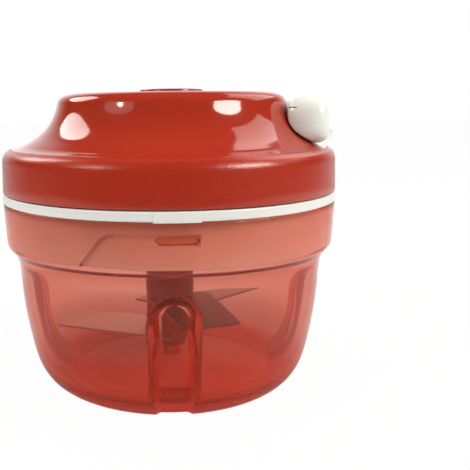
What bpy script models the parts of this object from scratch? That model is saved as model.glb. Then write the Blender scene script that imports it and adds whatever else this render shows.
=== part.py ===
"""Pull cord food chopper: see-through bowl, lid with a cord reel inside, and a post with three blades.

Metres, +Z up. The bowl stands on z = 0 and every turning piece turns on the Z axis.
The front of the chopper faces -Y and the handle leaves along +X.
"""

import math

import bmesh
import bpy
from mathutils import Matrix, Vector

CLEARANCE = 0.0003
OVERRUN = 0.003
TURN_STEPS = 40
SMALL_STEPS = 20
SHARP_ANGLE = math.radians(32)

# Bowl, from its shoulder up to the brim and down to the foot
SHOULDER_RADIUS = 0.05995
COLLAR_STEP = 0.00445
BRIM_DRAFT = 0.0005
WALL_DRAFT = 0.00525
CORNER_REACH = 0.0117
CORNER_HEIGHT = 0.013
CORNER_EXPONENT = 1.6
BOWL_HEIGHT = 0.0741
BRIM_LENGTH = 0.0141
COLLAR_RISE = 0.010
COLLAR_WALL = 0.0027
LEDGE_DROP = 0.0027
LEDGE_RISE = 0.0058
BOWL_WALL = 0.0022
FLOOR_TOP = 0.008
FLOOR_THICKNESS = 0.0024
FOOT_WIDTH = 0.0027
PIVOT_BOSS_RADIUS = 0.0034
PIVOT_BOSS_HEIGHT = 0.0045
PIVOT_HOLE_SHARE = 0.78
PIN_RADIUS = 0.0015
PIN_BELOW_BLADE = 0.0016
COLLAR_RADIUS = SHOULDER_RADIUS + COLLAR_STEP
BRIM_RADIUS = COLLAR_RADIUS + BRIM_DRAFT
CORNER_RADIUS = SHOULDER_RADIUS - WALL_DRAFT
FOOT_RADIUS = CORNER_RADIUS - CORNER_REACH
COLLAR_HEIGHT = BOWL_HEIGHT - BRIM_LENGTH
SHOULDER_HEIGHT = COLLAR_HEIGHT - COLLAR_RISE
COLLAR_BORE = BRIM_RADIUS - COLLAR_WALL
LEDGE_HIGH = COLLAR_HEIGHT - LEDGE_DROP
LEDGE_LOW = LEDGE_HIGH - LEDGE_RISE

# Arched grooves pressed into the bowl's wall
GROOVE_COUNT = 4
GROOVE_TURN = math.radians(1.5)
GROOVE_HALF_WIDTH = 0.00695
GROOVE_TAPER = 0.0014
GROOVE_BELOW_SHOULDER = 0.0035
GROOVE_DEPTH = 0.00535
GROOVE_FOOT_DEPTH = 0.0018
GROOVE_CORNER_HEIGHT = 0.024
GROOVE_EXPONENT = 1.35
ARCH_POINTS = 8
GROOVE_FLOOR_HALF_WIDTH = GROOVE_HALF_WIDTH - GROOVE_TAPER
GROOVE_TOP = SHOULDER_HEIGHT - GROOVE_BELOW_SHOULDER
GROOVE_RADIUS = SHOULDER_RADIUS - GROOVE_DEPTH
GROOVE_FOOT_RADIUS = FOOT_RADIUS - GROOVE_FOOT_DEPTH

# Bayonet: lugs in the bowl's collar and tracks in the lid's skirt
LUG_COUNT = 3
LUG_TURN = math.radians(-90.15)
LUG_HALF_LENGTH = 0.0060
LUG_BELOW_BRIM = 0.0042
LUG_THICKNESS = 0.0029
LUG_DEPTH = 0.0020
LUG_HIGH = BOWL_HEIGHT - LUG_BELOW_BRIM
LUG_LOW = LUG_HIGH - LUG_THICKNESS
TRACK_DEPTH = 0.0019
TRACK_RISE_START = math.radians(-28.5)
TRACK_RISE_END = math.radians(-20.6)
TRACK_MOUTH_END = math.radians(-8.3)
TRACK_SHELF_START = math.radians(-5.6)
TRACK_END = math.radians(6.7)

# Housing, the pale lower half of the lid
FLANGE_HEIGHT = 0.0031
FLANGE_OVERLAP = 0.0001
SKIRT_GAP = 0.0006
SKIRT_WALL = 0.0040
SKIRT_LENGTH = 0.0164
HOUSING_PLATE = 0.0020
TAB_HALF_WIDTH = 0.0068
TAB_PROUD = 0.0003
TAB_DROP = 0.0002
SEAL_GAP = 0.0001
SEAL_WIDTH = 0.0016
SEAL_HEIGHT = 0.0009
PILLAR_COUNT = 3
PILLAR_TURN = math.radians(60)
PILLAR_INSET = 0.0076
PILLAR_RADIUS = 0.0045
PILLAR_STAND = 0.0062
HEAD_DEPTH = 0.018
SCREW_RADIUS = 0.0015
SCREW_HEAD_RADIUS = 0.0027
SCREW_HEAD_HEIGHT = 0.0022
SCREW_LENGTH = 0.019
BEARING_RADIUS = 0.0090
BEARING_HEIGHT = 0.012
LID_RADIUS = BRIM_RADIUS + FLANGE_OVERLAP
SKIRT_RADIUS = COLLAR_BORE - SKIRT_GAP
SEAL_INNER = COLLAR_BORE + SEAL_GAP
PILLAR_CIRCLE = SKIRT_RADIUS - SKIRT_WALL - PILLAR_INSET
FLANGE_LOW = BOWL_HEIGHT + CLEARANCE
FLANGE_HIGH = FLANGE_LOW + FLANGE_HEIGHT
SKIRT_BOTTOM = FLANGE_LOW - SKIRT_LENGTH
HEAD_SEAT = SKIRT_BOTTOM + HEAD_DEPTH
PILLAR_TOP = FLANGE_HIGH + PILLAR_STAND

# Cover, the red upper half of the lid
BAND_INSET = 0.0001
BAND_DRAFT = 0.0003
BAND_HEIGHT = 0.0102
SHOULDER_DROP = 0.0004
SHOULDER_STEP = 0.0020
BAND_EDGE = 0.0011
BAND_EDGE_HEIGHT = 0.0142
FLARE_EDGE = 0.0021
FLARE_START = 0.0160
FLARE_RUN = 0.0167
NECK_HEIGHT = 0.0323
FLARE_BEND = 1.6
FLARE_FLATNESS = 0.66
FLARE_POINTS = 8
RIM_FILLET = 0.0043
RIM_POINTS = 4
DOME_RISE = 0.0007
DOME_SHIFT = 0.0013
COVER_WALL = 0.0024
CAP_RADIUS = 0.0125
CAP_THICKNESS = 0.0007
CAP_EDGE = 0.0003
CAP_STEM_RADIUS = 0.0025
CAP_STEM_LENGTH = 0.0038
BAND_LOW_RADIUS = LID_RADIUS - BAND_INSET
BAND_TOP_RADIUS = BAND_LOW_RADIUS - BAND_DRAFT
BAND_EDGE_RADIUS = BAND_TOP_RADIUS - BAND_EDGE
FLARE_RADIUS = BAND_EDGE_RADIUS - FLARE_EDGE
NECK_RADIUS = FLARE_RADIUS - FLARE_RUN
COVER_LOW = FLANGE_HIGH + CLEARANCE
NECK_TOP = COVER_LOW + NECK_HEIGHT

# Reel, hung under the dome
REEL_BELOW_NECK = 0.0025
REEL_FLANGE_SHARE = 0.73826
REEL_CORE_SHARE = 0.57576
CUP_SHARE = 0.87879
REEL_FLANGE = 0.0014
DRUM_LENGTH = 0.0100
REEL_HUB_RADIUS = 0.0095
REEL_HUB_DROP = 0.0007
REEL_CORE_WALL = 0.0030
CUP_WALL = 0.0020
CUP_GAP = 0.0008
SPRING_THICKNESS = 0.0004
SPRING_TURNS = 5
SPRING_STEPS = 20
SPRING_MARGIN = 0.0008
REEL_FLANGE_RADIUS = NECK_RADIUS * REEL_FLANGE_SHARE
REEL_CORE_RADIUS = REEL_FLANGE_RADIUS * REEL_CORE_SHARE
REEL_POCKET_RADIUS = REEL_CORE_RADIUS - REEL_CORE_WALL
CUP_RADIUS = REEL_FLANGE_RADIUS * CUP_SHARE
REEL_TOP = NECK_TOP - REEL_BELOW_NECK

# Mechanism plate with its stepped tube
PLATE_EDGE = 0.004
PLATE_THICKNESS = 0.0018
TUBE_WALL = 0.0021
ARBOR_STEP = 0.0015
TUBE_DROP = 0.0011
PLATE_RADIUS = PILLAR_CIRCLE + PLATE_EDGE

# Drive shaft and its bearing
SHAFT_RADIUS = 0.0040
BUSH_WALL = 0.0017
BUSH_FLANGE = 0.0015
DOG_RADIUS = 0.0052
DOG_DEPTH = 0.0092
CLIP_HEIGHT = 0.0010
CLIP_WIDTH = 0.0032
CLIP_GROOVE = 0.0007
CLIP_GAP = 0.0050
SQUARE_HALF = 0.0025
SHAFT_PROUD = 0.0006

# Ratchet
TOOTH_COUNT = 12
PAWL_CIRCLE_SHARE = 0.63636
WHEEL_TIP_SHARE = 0.64286
WHEEL_ROOT_SHARE = 0.77778
WHEEL_THICKNESS = 0.0030
PAWL_PIN_RADIUS = 0.0015
PAWL_EYE_WALL = 0.0012
PAWL_TIP_SHARE = 0.92593
PAWL_TIP_TURN = math.radians(38)
PAWL_WIDTH_SHARE = 0.18519
PAWL_THICKNESS = 0.0024
TOOTH_TURN = math.radians(42)
PAWL_CIRCLE = REEL_FLANGE_RADIUS * PAWL_CIRCLE_SHARE
WHEEL_TIP = PAWL_CIRCLE * WHEEL_TIP_SHARE
WHEEL_ROOT = WHEEL_TIP * WHEEL_ROOT_SHARE
PAWL_TIP_RADIUS = WHEEL_TIP * PAWL_TIP_SHARE
PAWL_TIP_WIDTH = WHEEL_TIP * PAWL_WIDTH_SHARE
PAWL_EYE_RADIUS = PAWL_PIN_RADIUS + CLEARANCE + PAWL_EYE_WALL

# Cord
CORD_RADIUS = 0.0010
CORD_BELOW_FLANGE = 0.0012
CORD_PITCH = 0.00245
CORD_WOUND_HEIGHT = 0.0075
CORD_TURN_POINTS = 20
CORD_BEND_RUN = 0.0022
CORD_RUN_STEP = 0.0045
EYELET_GAP = 0.0005
EYELET_WALL = 0.0009
EYELET_RIM = 0.0012
EYELET_FLANGE = 0.0012
EYELET_INSET = 0.0027
EYELET_LENGTH = 0.0052
CORD_HEIGHT = REEL_TOP - REEL_FLANGE - CORD_BELOW_FLANGE
EYELET_BORE = CORD_RADIUS + EYELET_GAP
EYELET_BACK = NECK_RADIUS - EYELET_INSET

# Handle
GRIP_GAP = 0.0034
GRIP_DEPTH = 0.0152
GRIP_OVER_BAND = 0.0036
GRIP_OVER_NECK = 0.0028
GRIP_SECTION_SHARES = (
    (0.01, 0.87),
    (0.36, 1.00),
    (0.55, 0.99),
    (0.80, 0.91),
    (0.93, 0.62),
    (1.00, 0.24),
    (0.93, 0.11),
    (0.72, 0.02),
    (0.66, 0.01),
    (0.38, 0.16),
    (0.17, 0.38),
    (0.05, 0.58),
    (0.01, 0.72),
)
GRIP_HALF_TURN = math.radians(24)
GRIP_STATION_SHARES = (0.0, 0.30, 0.58, 0.76, 0.88, 0.96, 1.0)
GRIP_SCALE_SHARES = (1.0, 1.0, 1.0, 0.97, 0.86, 0.68, 0.45)
KNOT_RADIUS = 0.0026
POCKET_GAP = 0.0010
PLUG_THICKNESS = 0.0024
PLUG_INSET = 0.0018
KNOT_GAP = 0.0010
GRIP_INNER_RADIUS = NECK_RADIUS + GRIP_GAP
GRIP_OUTER_RADIUS = GRIP_INNER_RADIUS + GRIP_DEPTH
GRIP_BOTTOM = COVER_LOW + BAND_EDGE_HEIGHT + GRIP_OVER_BAND
GRIP_TOP = NECK_TOP + GRIP_OVER_NECK
POCKET_RADIUS = KNOT_RADIUS + POCKET_GAP
KNOT_PLACE = GRIP_OUTER_RADIUS - PLUG_INSET - PLUG_THICKNESS - KNOT_GAP - KNOT_RADIUS

# Blade post and blades
POST_RADIUS = 0.0096
POST_FOOT_RADIUS = 0.0065
POST_FOOT_HEIGHT = 0.0014
POST_TAPER_HEIGHT = 0.0025
POST_BELOW_SKIRT = 0.0025
POST_EDGE = 0.0008
BLADE_THICKNESS = 0.0009
BLADE_SWEEP_GAP = 0.0054
BLADE_BACK = 0.0035
BLADE_LEADING = 0.0165
BLADE_TIP_LEADING = 0.0083
BLADE_TIP_TRAILING = 0.0130
BLADE_TRAILING = 0.0110
BLADE_TRAILING_START = 0.0075
BLADE_ROOT_TRAILING = 0.0075
BLADE_REACH = GROOVE_RADIUS - BOWL_WALL - BLADE_SWEEP_GAP
POST_TOP = SKIRT_BOTTOM - POST_BELOW_SKIRT
DOG_BOTTOM = POST_TOP - DOG_DEPTH
BLADE_LOW_SHARE = 0.2421
BLADE_MIDDLE_SHARE = 0.2000
BLADE_HIGH_SHARE = 0.0990
BLADE_LOW_HEIGHT = FLOOR_TOP + (POST_TOP - FLOOR_TOP) * BLADE_LOW_SHARE
BLADE_MIDDLE_HEIGHT = BLADE_LOW_HEIGHT + (POST_TOP - FLOOR_TOP) * BLADE_MIDDLE_SHARE
BLADE_HIGH_HEIGHT = BLADE_MIDDLE_HEIGHT + (POST_TOP - FLOOR_TOP) * BLADE_HIGH_SHARE
BLADES = {
    "blade_low": (math.radians(168), BLADE_LOW_HEIGHT),
    "blade_middle": (math.radians(49), BLADE_MIDDLE_HEIGHT),
    "blade_high": (math.radians(-69), BLADE_HIGH_HEIGHT),
}

PALE = ((0.71, 0.74, 0.67, 1.0), 0.35, 0.0)
RED = ((0.36, 0.028, 0.014, 1.0), 0.35, 0.0)
TINT = ((0.62, 0.16, 0.10, 1.0), 0.12, 0.0)
POST_RED = ((0.16, 0.03, 0.022, 1.0), 0.4, 0.0)
STEEL = ((0.62, 0.62, 0.63, 1.0), 0.25, 1.0)
DARK_STEEL = ((0.30, 0.30, 0.32, 1.0), 0.35, 1.0)
SILICONE = ((0.75, 0.75, 0.73, 1.0), 0.6, 0.0)
BRONZE = ((0.55, 0.38, 0.20, 1.0), 0.4, 1.0)
CORD_WHITE = ((0.78, 0.77, 0.72, 1.0), 0.85, 0.0)

for old in list(bpy.data.objects):
    bpy.data.objects.remove(old, do_unlink=True)

parts = bpy.data.collections.new("Pull cord food chopper")
cutters = bpy.data.collections.new("Chopper cutters")
cutters.hide_render = True
bpy.context.scene.collection.children.link(parts)
bpy.context.scene.collection.children.link(cutters)


def new_object(name, mesh, home):
    obj = bpy.data.objects.new(name, mesh)
    home.objects.link(obj)
    if home is cutters:
        obj.hide_render = True
        obj.display_type = "WIRE"
    return obj


def turned(name, profile, closed, home=parts, steps=TURN_STEPS):
    """A profile of (radius, height) points that runs down its outer side, turned round the Z axis."""
    count = len(profile)
    edges = [(i, i + 1) for i in range(count - 1)]
    if closed:
        edges.append((count - 1, 0))
    mesh = bpy.data.meshes.new(name)
    mesh.from_pydata([(radius, 0, height) for radius, height in profile], edges, [])
    obj = new_object(name, mesh, home)
    screw = obj.modifiers.new("Turn", "SCREW")
    screw.steps = steps
    screw.render_steps = steps
    screw.use_merge_vertices = True
    screw.merge_threshold = 0.00001
    return obj


def cylinder(name, radius, low, high, at=(0, 0), home=cutters, sides=SMALL_STEPS, turn=0):
    mesh = bpy.data.meshes.new(name)
    bm = bmesh.new()
    place = Matrix.Translation((at[0], at[1], (low + high) / 2)) @ Matrix.Rotation(turn, 4, "Z")
    bmesh.ops.create_cone(
        bm, cap_ends=True, segments=sides, radius1=radius, radius2=radius, depth=high - low, matrix=place
    )
    bm.to_mesh(mesh)
    bm.free()
    return new_object(name, mesh, home)


def rod_along_x(name, radius, start, end, height, home=cutters, sides=SMALL_STEPS):
    mesh = bpy.data.meshes.new(name)
    bm = bmesh.new()
    place = Matrix.Translation(((start + end) / 2, 0, height)) @ Matrix.Rotation(math.pi / 2, 4, "Y")
    bmesh.ops.create_cone(
        bm, cap_ends=True, segments=sides, radius1=radius, radius2=radius, depth=end - start, matrix=place
    )
    bm.to_mesh(mesh)
    bm.free()
    return new_object(name, mesh, home)


def box(name, low, high, turn=0, home=cutters):
    """A box from low to high, then turned round the Z axis."""
    mesh = bpy.data.meshes.new(name)
    bm = bmesh.new()
    centre = (Vector(low) + Vector(high)) / 2
    size = Vector(high) - Vector(low)
    place = Matrix.Rotation(turn, 4, "Z") @ Matrix.Translation(centre) @ Matrix.Diagonal((*size, 1))
    bmesh.ops.create_cube(bm, size=1, matrix=place)
    bm.to_mesh(mesh)
    bm.free()
    return new_object(name, mesh, home)


def as_mesh(curve_object, home):
    """Replaces a curve by its own mesh, with its caps welded."""
    graph = bpy.context.evaluated_depsgraph_get()
    mesh = bpy.data.meshes.new_from_object(curve_object.evaluated_get(graph))
    place = curve_object.matrix_world.copy()
    name = curve_object.name
    bpy.data.objects.remove(curve_object, do_unlink=True)
    bm = bmesh.new()
    bm.from_mesh(mesh)
    bmesh.ops.remove_doubles(bm, verts=bm.verts, dist=0.000001)
    bmesh.ops.recalc_face_normals(bm, faces=bm.faces)
    bm.to_mesh(mesh)
    bm.free()
    obj = new_object(name, mesh, home)
    obj.matrix_world = place
    return obj


def plate(name, outlines, low, high, home=parts, turn=0, at=(0, 0), upright=False):
    """Flat outlines of (x, y) points, the first the outer one and the rest holes, extruded from low to high."""
    data = bpy.data.curves.new(name, "CURVE")
    data.dimensions = "2D"
    data.fill_mode = "BOTH"
    data.extrude = (high - low) / 2
    for outline in outlines:
        spline = data.splines.new("POLY")
        spline.points.add(len(outline) - 1)
        for point, (x, y) in zip(spline.points, outline):
            point.co = (x, y, 0, 1)
        spline.use_cyclic_u = True
    obj = new_object(name, data, home)
    middle = (low + high) / 2
    spin = Matrix.Rotation(turn, 4, "Z")
    if upright:
        # The outline's y runs up, and the extrusion runs along the turned X axis.
        stand = Matrix(((0, 0, 1, middle), (1, 0, 0, 0), (0, 1, 0, 0), (0, 0, 0, 1)))
        obj.matrix_world = spin @ stand
    else:
        obj.matrix_world = Matrix.Translation((at[0], at[1], middle)) @ spin
    bpy.context.view_layer.update()
    return as_mesh(obj, home)


def tube(name, route, radius, home=parts):
    """A round cord along a route of points, with closed ends."""
    data = bpy.data.curves.new(name, "CURVE")
    data.dimensions = "3D"
    data.bevel_depth = radius
    data.bevel_resolution = 2
    data.use_fill_caps = True
    spline = data.splines.new("POLY")
    spline.points.add(len(route) - 1)
    for point, place in zip(spline.points, route):
        point.co = (*place, 1)
    obj = new_object(name, data, home)
    bpy.context.view_layer.update()
    return as_mesh(obj, home)


def boolean(obj, other, operation):
    step = obj.modifiers.new(other.name, "BOOLEAN")
    step.operation = operation
    step.solver = "EXACT"
    step.object = other


def cut(obj, other):
    boolean(obj, other, "DIFFERENCE")


def join(obj, other):
    boolean(obj, other, "UNION")


def keep(obj, other):
    boolean(obj, other, "INTERSECT")


def circle(radius, count, at=(0, 0), start=0, sweep=math.tau):
    return [
        (at[0] + radius * math.cos(start + sweep * i / count), at[1] + radius * math.sin(start + sweep * i / count))
        for i in range(count)
    ]


def smooth(share):
    return share * share * (3 - 2 * share)


def offset(profile, distance):
    """The profile moved square to itself by a distance, to the left of its direction."""
    moved = []
    for i, (x, y) in enumerate(profile):
        before = Vector(profile[max(i - 1, 0)])
        here = Vector((x, y))
        after = Vector(profile[min(i + 1, len(profile) - 1)])
        first = (here - before).normalized() if i else (after - here).normalized()
        second = (after - here).normalized() if i < len(profile) - 1 else first
        normals = [Vector((-d.y, d.x)) for d in (first, second)]
        middle = (normals[0] + normals[1]).normalized()
        moved.append(tuple(here + middle * distance / middle.dot(normals[0])))
    return moved


def corner(height, foot_radius, top_radius, top_height, exponent):
    """Radius of a rounded lower edge that starts flat at the foot and ends upright."""
    rest = (1 - height / top_height) ** exponent
    return foot_radius + (top_radius - foot_radius) * (1 - rest) ** (1 / exponent)


def finish(obj, look, smooth_shade=True):
    """Takes the modelled shape as the object's mesh, shades it and gives it its own material."""
    if obj.modifiers:
        graph = bpy.context.evaluated_depsgraph_get()
        obj.data = bpy.data.meshes.new_from_object(obj.evaluated_get(graph))
        obj.modifiers.clear()
    colour, roughness, metallic = look
    obj.data.name = obj.name
    if smooth_shade:
        obj.data.shade_smooth()
        obj.data.set_sharp_from_angle(angle=SHARP_ANGLE)
    material = bpy.data.materials.new(obj.name)
    material.use_nodes = True
    shader = material.node_tree.nodes["Principled BSDF"]
    shader.inputs["Base Color"].default_value = colour
    shader.inputs["Roughness"].default_value = roughness
    shader.inputs["Metallic"].default_value = metallic
    obj.data.materials.clear()
    obj.data.materials.append(material)
    return obj


def loft(name, rings, home=parts):
    """Rings of as many points each, joined in turn and closed at both ends."""
    mesh = bpy.data.meshes.new(name)
    bm = bmesh.new()
    loops = [[bm.verts.new(point) for point in ring] for ring in rings]
    for first, second in zip(loops, loops[1:]):
        for i in range(len(first)):
            j = (i + 1) % len(first)
            bm.faces.new((first[i], first[j], second[j], second[i]))
    bm.faces.new(list(reversed(loops[0])))
    bm.faces.new(loops[-1])
    bmesh.ops.recalc_face_normals(bm, faces=bm.faces)
    bm.to_mesh(mesh)
    bm.free()
    return new_object(name, mesh, home)


def one_mesh(name, objects):
    """Joins cutters that don't touch each other into one mesh."""
    bm = bmesh.new()
    for obj in objects:
        first = len(bm.verts)
        bm.from_mesh(obj.data)
        bm.verts.ensure_lookup_table()
        bmesh.ops.transform(bm, matrix=obj.matrix_world, verts=bm.verts[first:])
        bpy.data.objects.remove(obj, do_unlink=True)
    mesh = bpy.data.meshes.new(name)
    bm.to_mesh(mesh)
    bm.free()
    return new_object(name, mesh, cutters)


def clipped_above(profile, height):
    """The part of a falling profile that lies above a height, ending on it."""
    kept = []
    for here, after in zip(profile, profile[1:]):
        kept.append(here)
        if after[1] <= height:
            share = (here[1] - height) / (here[1] - after[1])
            kept.append((here[0] + (after[0] - here[0]) * share, height))
            break
    return kept


def empty(name, at=(0, 0, 0)):
    """Marks the axis that the pieces of one moving body turn or slide on."""
    obj = bpy.data.objects.new(name, None)
    obj.empty_display_size = POST_RADIUS
    obj.location = at
    parts.objects.link(obj)
    return obj


# The bowl's outer line falls from the brim over the collar, the wall and the rounded lower edge.
collar_line = []
for i in range(7):
    share = 1 - i / 6
    collar_line.append(
        (
            SHOULDER_RADIUS + (COLLAR_RADIUS - SHOULDER_RADIUS) * smooth(share),
            SHOULDER_HEIGHT + (COLLAR_HEIGHT - SHOULDER_HEIGHT) * share,
        )
    )
wall_line = []
for i in range(1, 5):
    share = 1 - i / 4
    wall_line.append(
        (
            SHOULDER_RADIUS - (SHOULDER_RADIUS - CORNER_RADIUS) * (1 - share) ** 2,
            CORNER_HEIGHT + (SHOULDER_HEIGHT - CORNER_HEIGHT) * share,
        )
    )
corner_line = []
for share in (0.72, 0.46, 0.25, 0.1, 0):
    height = CORNER_HEIGHT * share
    corner_line.append((corner(height, FOOT_RADIUS, CORNER_RADIUS, CORNER_HEIGHT, CORNER_EXPONENT), height))
bowl_line = [(BRIM_RADIUS, BOWL_HEIGHT)] + collar_line + wall_line + corner_line

inner_radius = SHOULDER_RADIUS - BOWL_WALL
ledge_line = []
for i in range(5):
    share = 1 - i / 4
    ledge_line.append(
        (
            inner_radius + (COLLAR_BORE - inner_radius) * smooth(share),
            LEDGE_LOW + (LEDGE_HIGH - LEDGE_LOW) * share,
        )
    )
low_line = offset([collar_line[-1]] + wall_line + corner_line, -BOWL_WALL)
inner_line = [(COLLAR_BORE, BOWL_HEIGHT)] + ledge_line + clipped_above(low_line[1:], FLOOR_TOP)

boss_top = FLOOR_TOP + PIVOT_BOSS_HEIGHT
pin_bottom = boss_top - PIVOT_BOSS_HEIGHT * PIVOT_HOLE_SHARE
pin_hole = PIN_RADIUS + CLEARANCE
floor_underside = FLOOR_TOP - FLOOR_THICKNESS
foot_inner = FOOT_RADIUS - FOOT_WIDTH
bowl = turned(
    "chopping_bowl",
    [(0, pin_bottom), (pin_hole, pin_bottom), (pin_hole, boss_top)]
    + [(PIVOT_BOSS_RADIUS, boss_top), (PIVOT_BOSS_RADIUS, FLOOR_TOP)]
    + list(reversed(inner_line))
    + bowl_line
    + [(foot_inner, 0), (foot_inner, floor_underside), (0, floor_underside)],
    closed=False,
)

# The groove's floor and the inner face behind it are turned; the arch is cut out of that ring.
groove_line = [(GROOVE_RADIUS, BOWL_HEIGHT), (GROOVE_RADIUS, GROOVE_CORNER_HEIGHT)]
for share in (0.75, 0.55, 0.38, 0.22, 0.1, 0):
    height = GROOVE_CORNER_HEIGHT * share
    radius = corner(height, GROOVE_FOOT_RADIUS, GROOVE_RADIUS, GROOVE_CORNER_HEIGHT, GROOVE_EXPONENT)
    groove_line.append((radius, height))
groove_core = turned(
    "groove_core",
    [(0, BOWL_HEIGHT)] + groove_line + [(GROOVE_FOOT_RADIUS, -OVERRUN), (0, -OVERRUN)],
    closed=False,
    home=cutters,
)
bulge_line = clipped_above(offset(groove_line, -BOWL_WALL), floor_underside)
bulge_core = turned(
    "bulge_core",
    [(0, bulge_line[0][1])] + bulge_line + [(0, floor_underside)],
    closed=False,
    home=cutters,
)
middle_line = clipped_above(offset(bowl_line, -BOWL_WALL / 2), floor_underside)
wall_middle = turned(
    "wall_middle",
    [(0, middle_line[0][1])] + middle_line + [(0, floor_underside)],
    closed=False,
    home=cutters,
)


def arched(name, start, end, grow, low, turn):
    """A prism along the radius, with an arched outline that widens outward from the groove's floor."""
    rings = []
    for radius in (start, GROOVE_RADIUS, end):
        share = max(radius - GROOVE_RADIUS, 0) / (SHOULDER_RADIUS - GROOVE_RADIUS)
        half = GROOVE_FLOOR_HALF_WIDTH + (GROOVE_HALF_WIDTH - GROOVE_FLOOR_HALF_WIDTH) * share + grow
        centre = GROOVE_TOP - GROOVE_HALF_WIDTH
        outline = [(-half, low), (half, low)]
        for i in range(ARCH_POINTS + 1):
            angle = math.pi * i / ARCH_POINTS
            outline.append((half * math.cos(angle), centre + half * math.sin(angle)))
        rings.append([(radius, x, z) for x, z in outline])
    prism = loft(name, rings, cutters)
    prism.matrix_world = Matrix.Rotation(turn, 4, "Z")
    bpy.context.view_layer.update()
    return prism


front = math.radians(-90)
groove_turns = [front + GROOVE_TURN + math.tau * i / GROOVE_COUNT for i in range(GROOVE_COUNT)]
bulges = one_mesh(
    "bulges",
    [
        arched("bulge", GROOVE_FOOT_RADIUS - BOWL_WALL - OVERRUN, LID_RADIUS, BOWL_WALL, floor_underside, turn)
        for turn in groove_turns
    ],
)
keep(bulges, wall_middle)
cut(bulges, bulge_core)
join(bowl, bulges)
grooves = one_mesh(
    "grooves",
    [arched("groove", GROOVE_FOOT_RADIUS - OVERRUN, LID_RADIUS, 0, -OVERRUN, turn) for turn in groove_turns],
)
cut(grooves, groove_core)
cut(bowl, grooves)
for i in range(LUG_COUNT):
    lug = box(
        f"lug_{i + 1}",
        (COLLAR_BORE - LUG_DEPTH, -LUG_HALF_LENGTH, LUG_LOW),
        ((COLLAR_BORE + COLLAR_RADIUS) / 2, LUG_HALF_LENGTH, LUG_HIGH),
        turn=LUG_TURN + math.tau * i / LUG_COUNT,
    )
    join(bowl, lug)
finish(bowl, TINT)

pin_low = pin_bottom + CLEARANCE
pin_top = BLADE_LOW_HEIGHT - PIN_BELOW_BLADE
finish(cylinder("pivot_pin", PIN_RADIUS, pin_low, pin_top, home=parts), STEEL)

# Housing: flange, skirt and bottom in one turned piece, with pillars and bayonet tracks.
skirt_inner = SKIRT_RADIUS - SKIRT_WALL
bush_radius = SHAFT_RADIUS + CLEARANCE + BUSH_WALL
bore = bush_radius + CLEARANCE
bearing_top = SKIRT_BOTTOM + HOUSING_PLATE + BEARING_HEIGHT
seal_outer = SEAL_INNER + SEAL_WIDTH
seal_top = FLANGE_LOW + SEAL_HEIGHT
housing = turned(
    "housing",
    [
        (skirt_inner, FLANGE_HIGH),
        (LID_RADIUS, FLANGE_HIGH),
        (LID_RADIUS, FLANGE_LOW),
        (seal_outer + CLEARANCE, FLANGE_LOW),
        (seal_outer + CLEARANCE, seal_top + CLEARANCE),
        (SEAL_INNER - CLEARANCE, seal_top + CLEARANCE),
        (SEAL_INNER - CLEARANCE, FLANGE_LOW),
        (SKIRT_RADIUS, FLANGE_LOW),
        (SKIRT_RADIUS, SKIRT_BOTTOM),
        (bore, SKIRT_BOTTOM),
        (bore, bearing_top),
        (BEARING_RADIUS, bearing_top),
        (BEARING_RADIUS, SKIRT_BOTTOM + HOUSING_PLATE),
        (skirt_inner, SKIRT_BOTTOM + HOUSING_PLATE),
    ],
    closed=True,
)
tab_low = FLANGE_LOW - TAB_DROP
tab_inner = (seal_outer + CLEARANCE + LID_RADIUS) / 2
tab_ring = turned(
    "tab_ring",
    [
        (tab_inner, FLANGE_HIGH - CLEARANCE),
        (LID_RADIUS + TAB_PROUD, FLANGE_HIGH - CLEARANCE),
        (LID_RADIUS + TAB_PROUD, tab_low),
        (tab_inner, tab_low),
    ],
    closed=True,
    home=cutters,
    steps=TURN_STEPS * 2,
)
tab = box(
    "tab",
    (-TAB_HALF_WIDTH, -LID_RADIUS - OVERRUN, tab_low - OVERRUN),
    (TAB_HALF_WIDTH, -SKIRT_RADIUS, FLANGE_HIGH + OVERRUN),
)
keep(tab, tab_ring)
join(housing, tab)

track_floor = SKIRT_RADIUS - TRACK_DEPTH
track_top = LUG_HIGH + CLEARANCE
track_low = LUG_LOW - CLEARANCE
track_ring = turned(
    "track_ring",
    [
        (track_floor, track_top + OVERRUN),
        (SKIRT_RADIUS + OVERRUN, track_top + OVERRUN),
        (SKIRT_RADIUS + OVERRUN, SKIRT_BOTTOM - OVERRUN * 2),
        (track_floor, SKIRT_BOTTOM - OVERRUN * 2),
    ],
    closed=True,
    home=cutters,
)
track_middle = (TRACK_RISE_START + TRACK_END) / 2
track_points = (
    (TRACK_RISE_START, SKIRT_BOTTOM),
    (TRACK_RISE_END, track_top),
    (TRACK_END, track_top),
    (TRACK_END, track_low),
    (TRACK_SHELF_START, track_low),
    (TRACK_MOUTH_END, SKIRT_BOTTOM),
    (TRACK_MOUTH_END, SKIRT_BOTTOM - OVERRUN),
    (TRACK_RISE_START, SKIRT_BOTTOM - OVERRUN),
)
track_outline = [(SKIRT_RADIUS * math.sin(angle - track_middle), height) for angle, height in track_points]
for i in range(LUG_COUNT):
    track = plate(
        f"track_{i + 1}",
        [track_outline],
        track_floor / 2,
        SKIRT_RADIUS + OVERRUN * 2,
        home=cutters,
        turn=LUG_TURN + track_middle + math.tau * i / LUG_COUNT,
        upright=True,
    )
    keep(track, track_ring)
    cut(housing, track)

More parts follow.
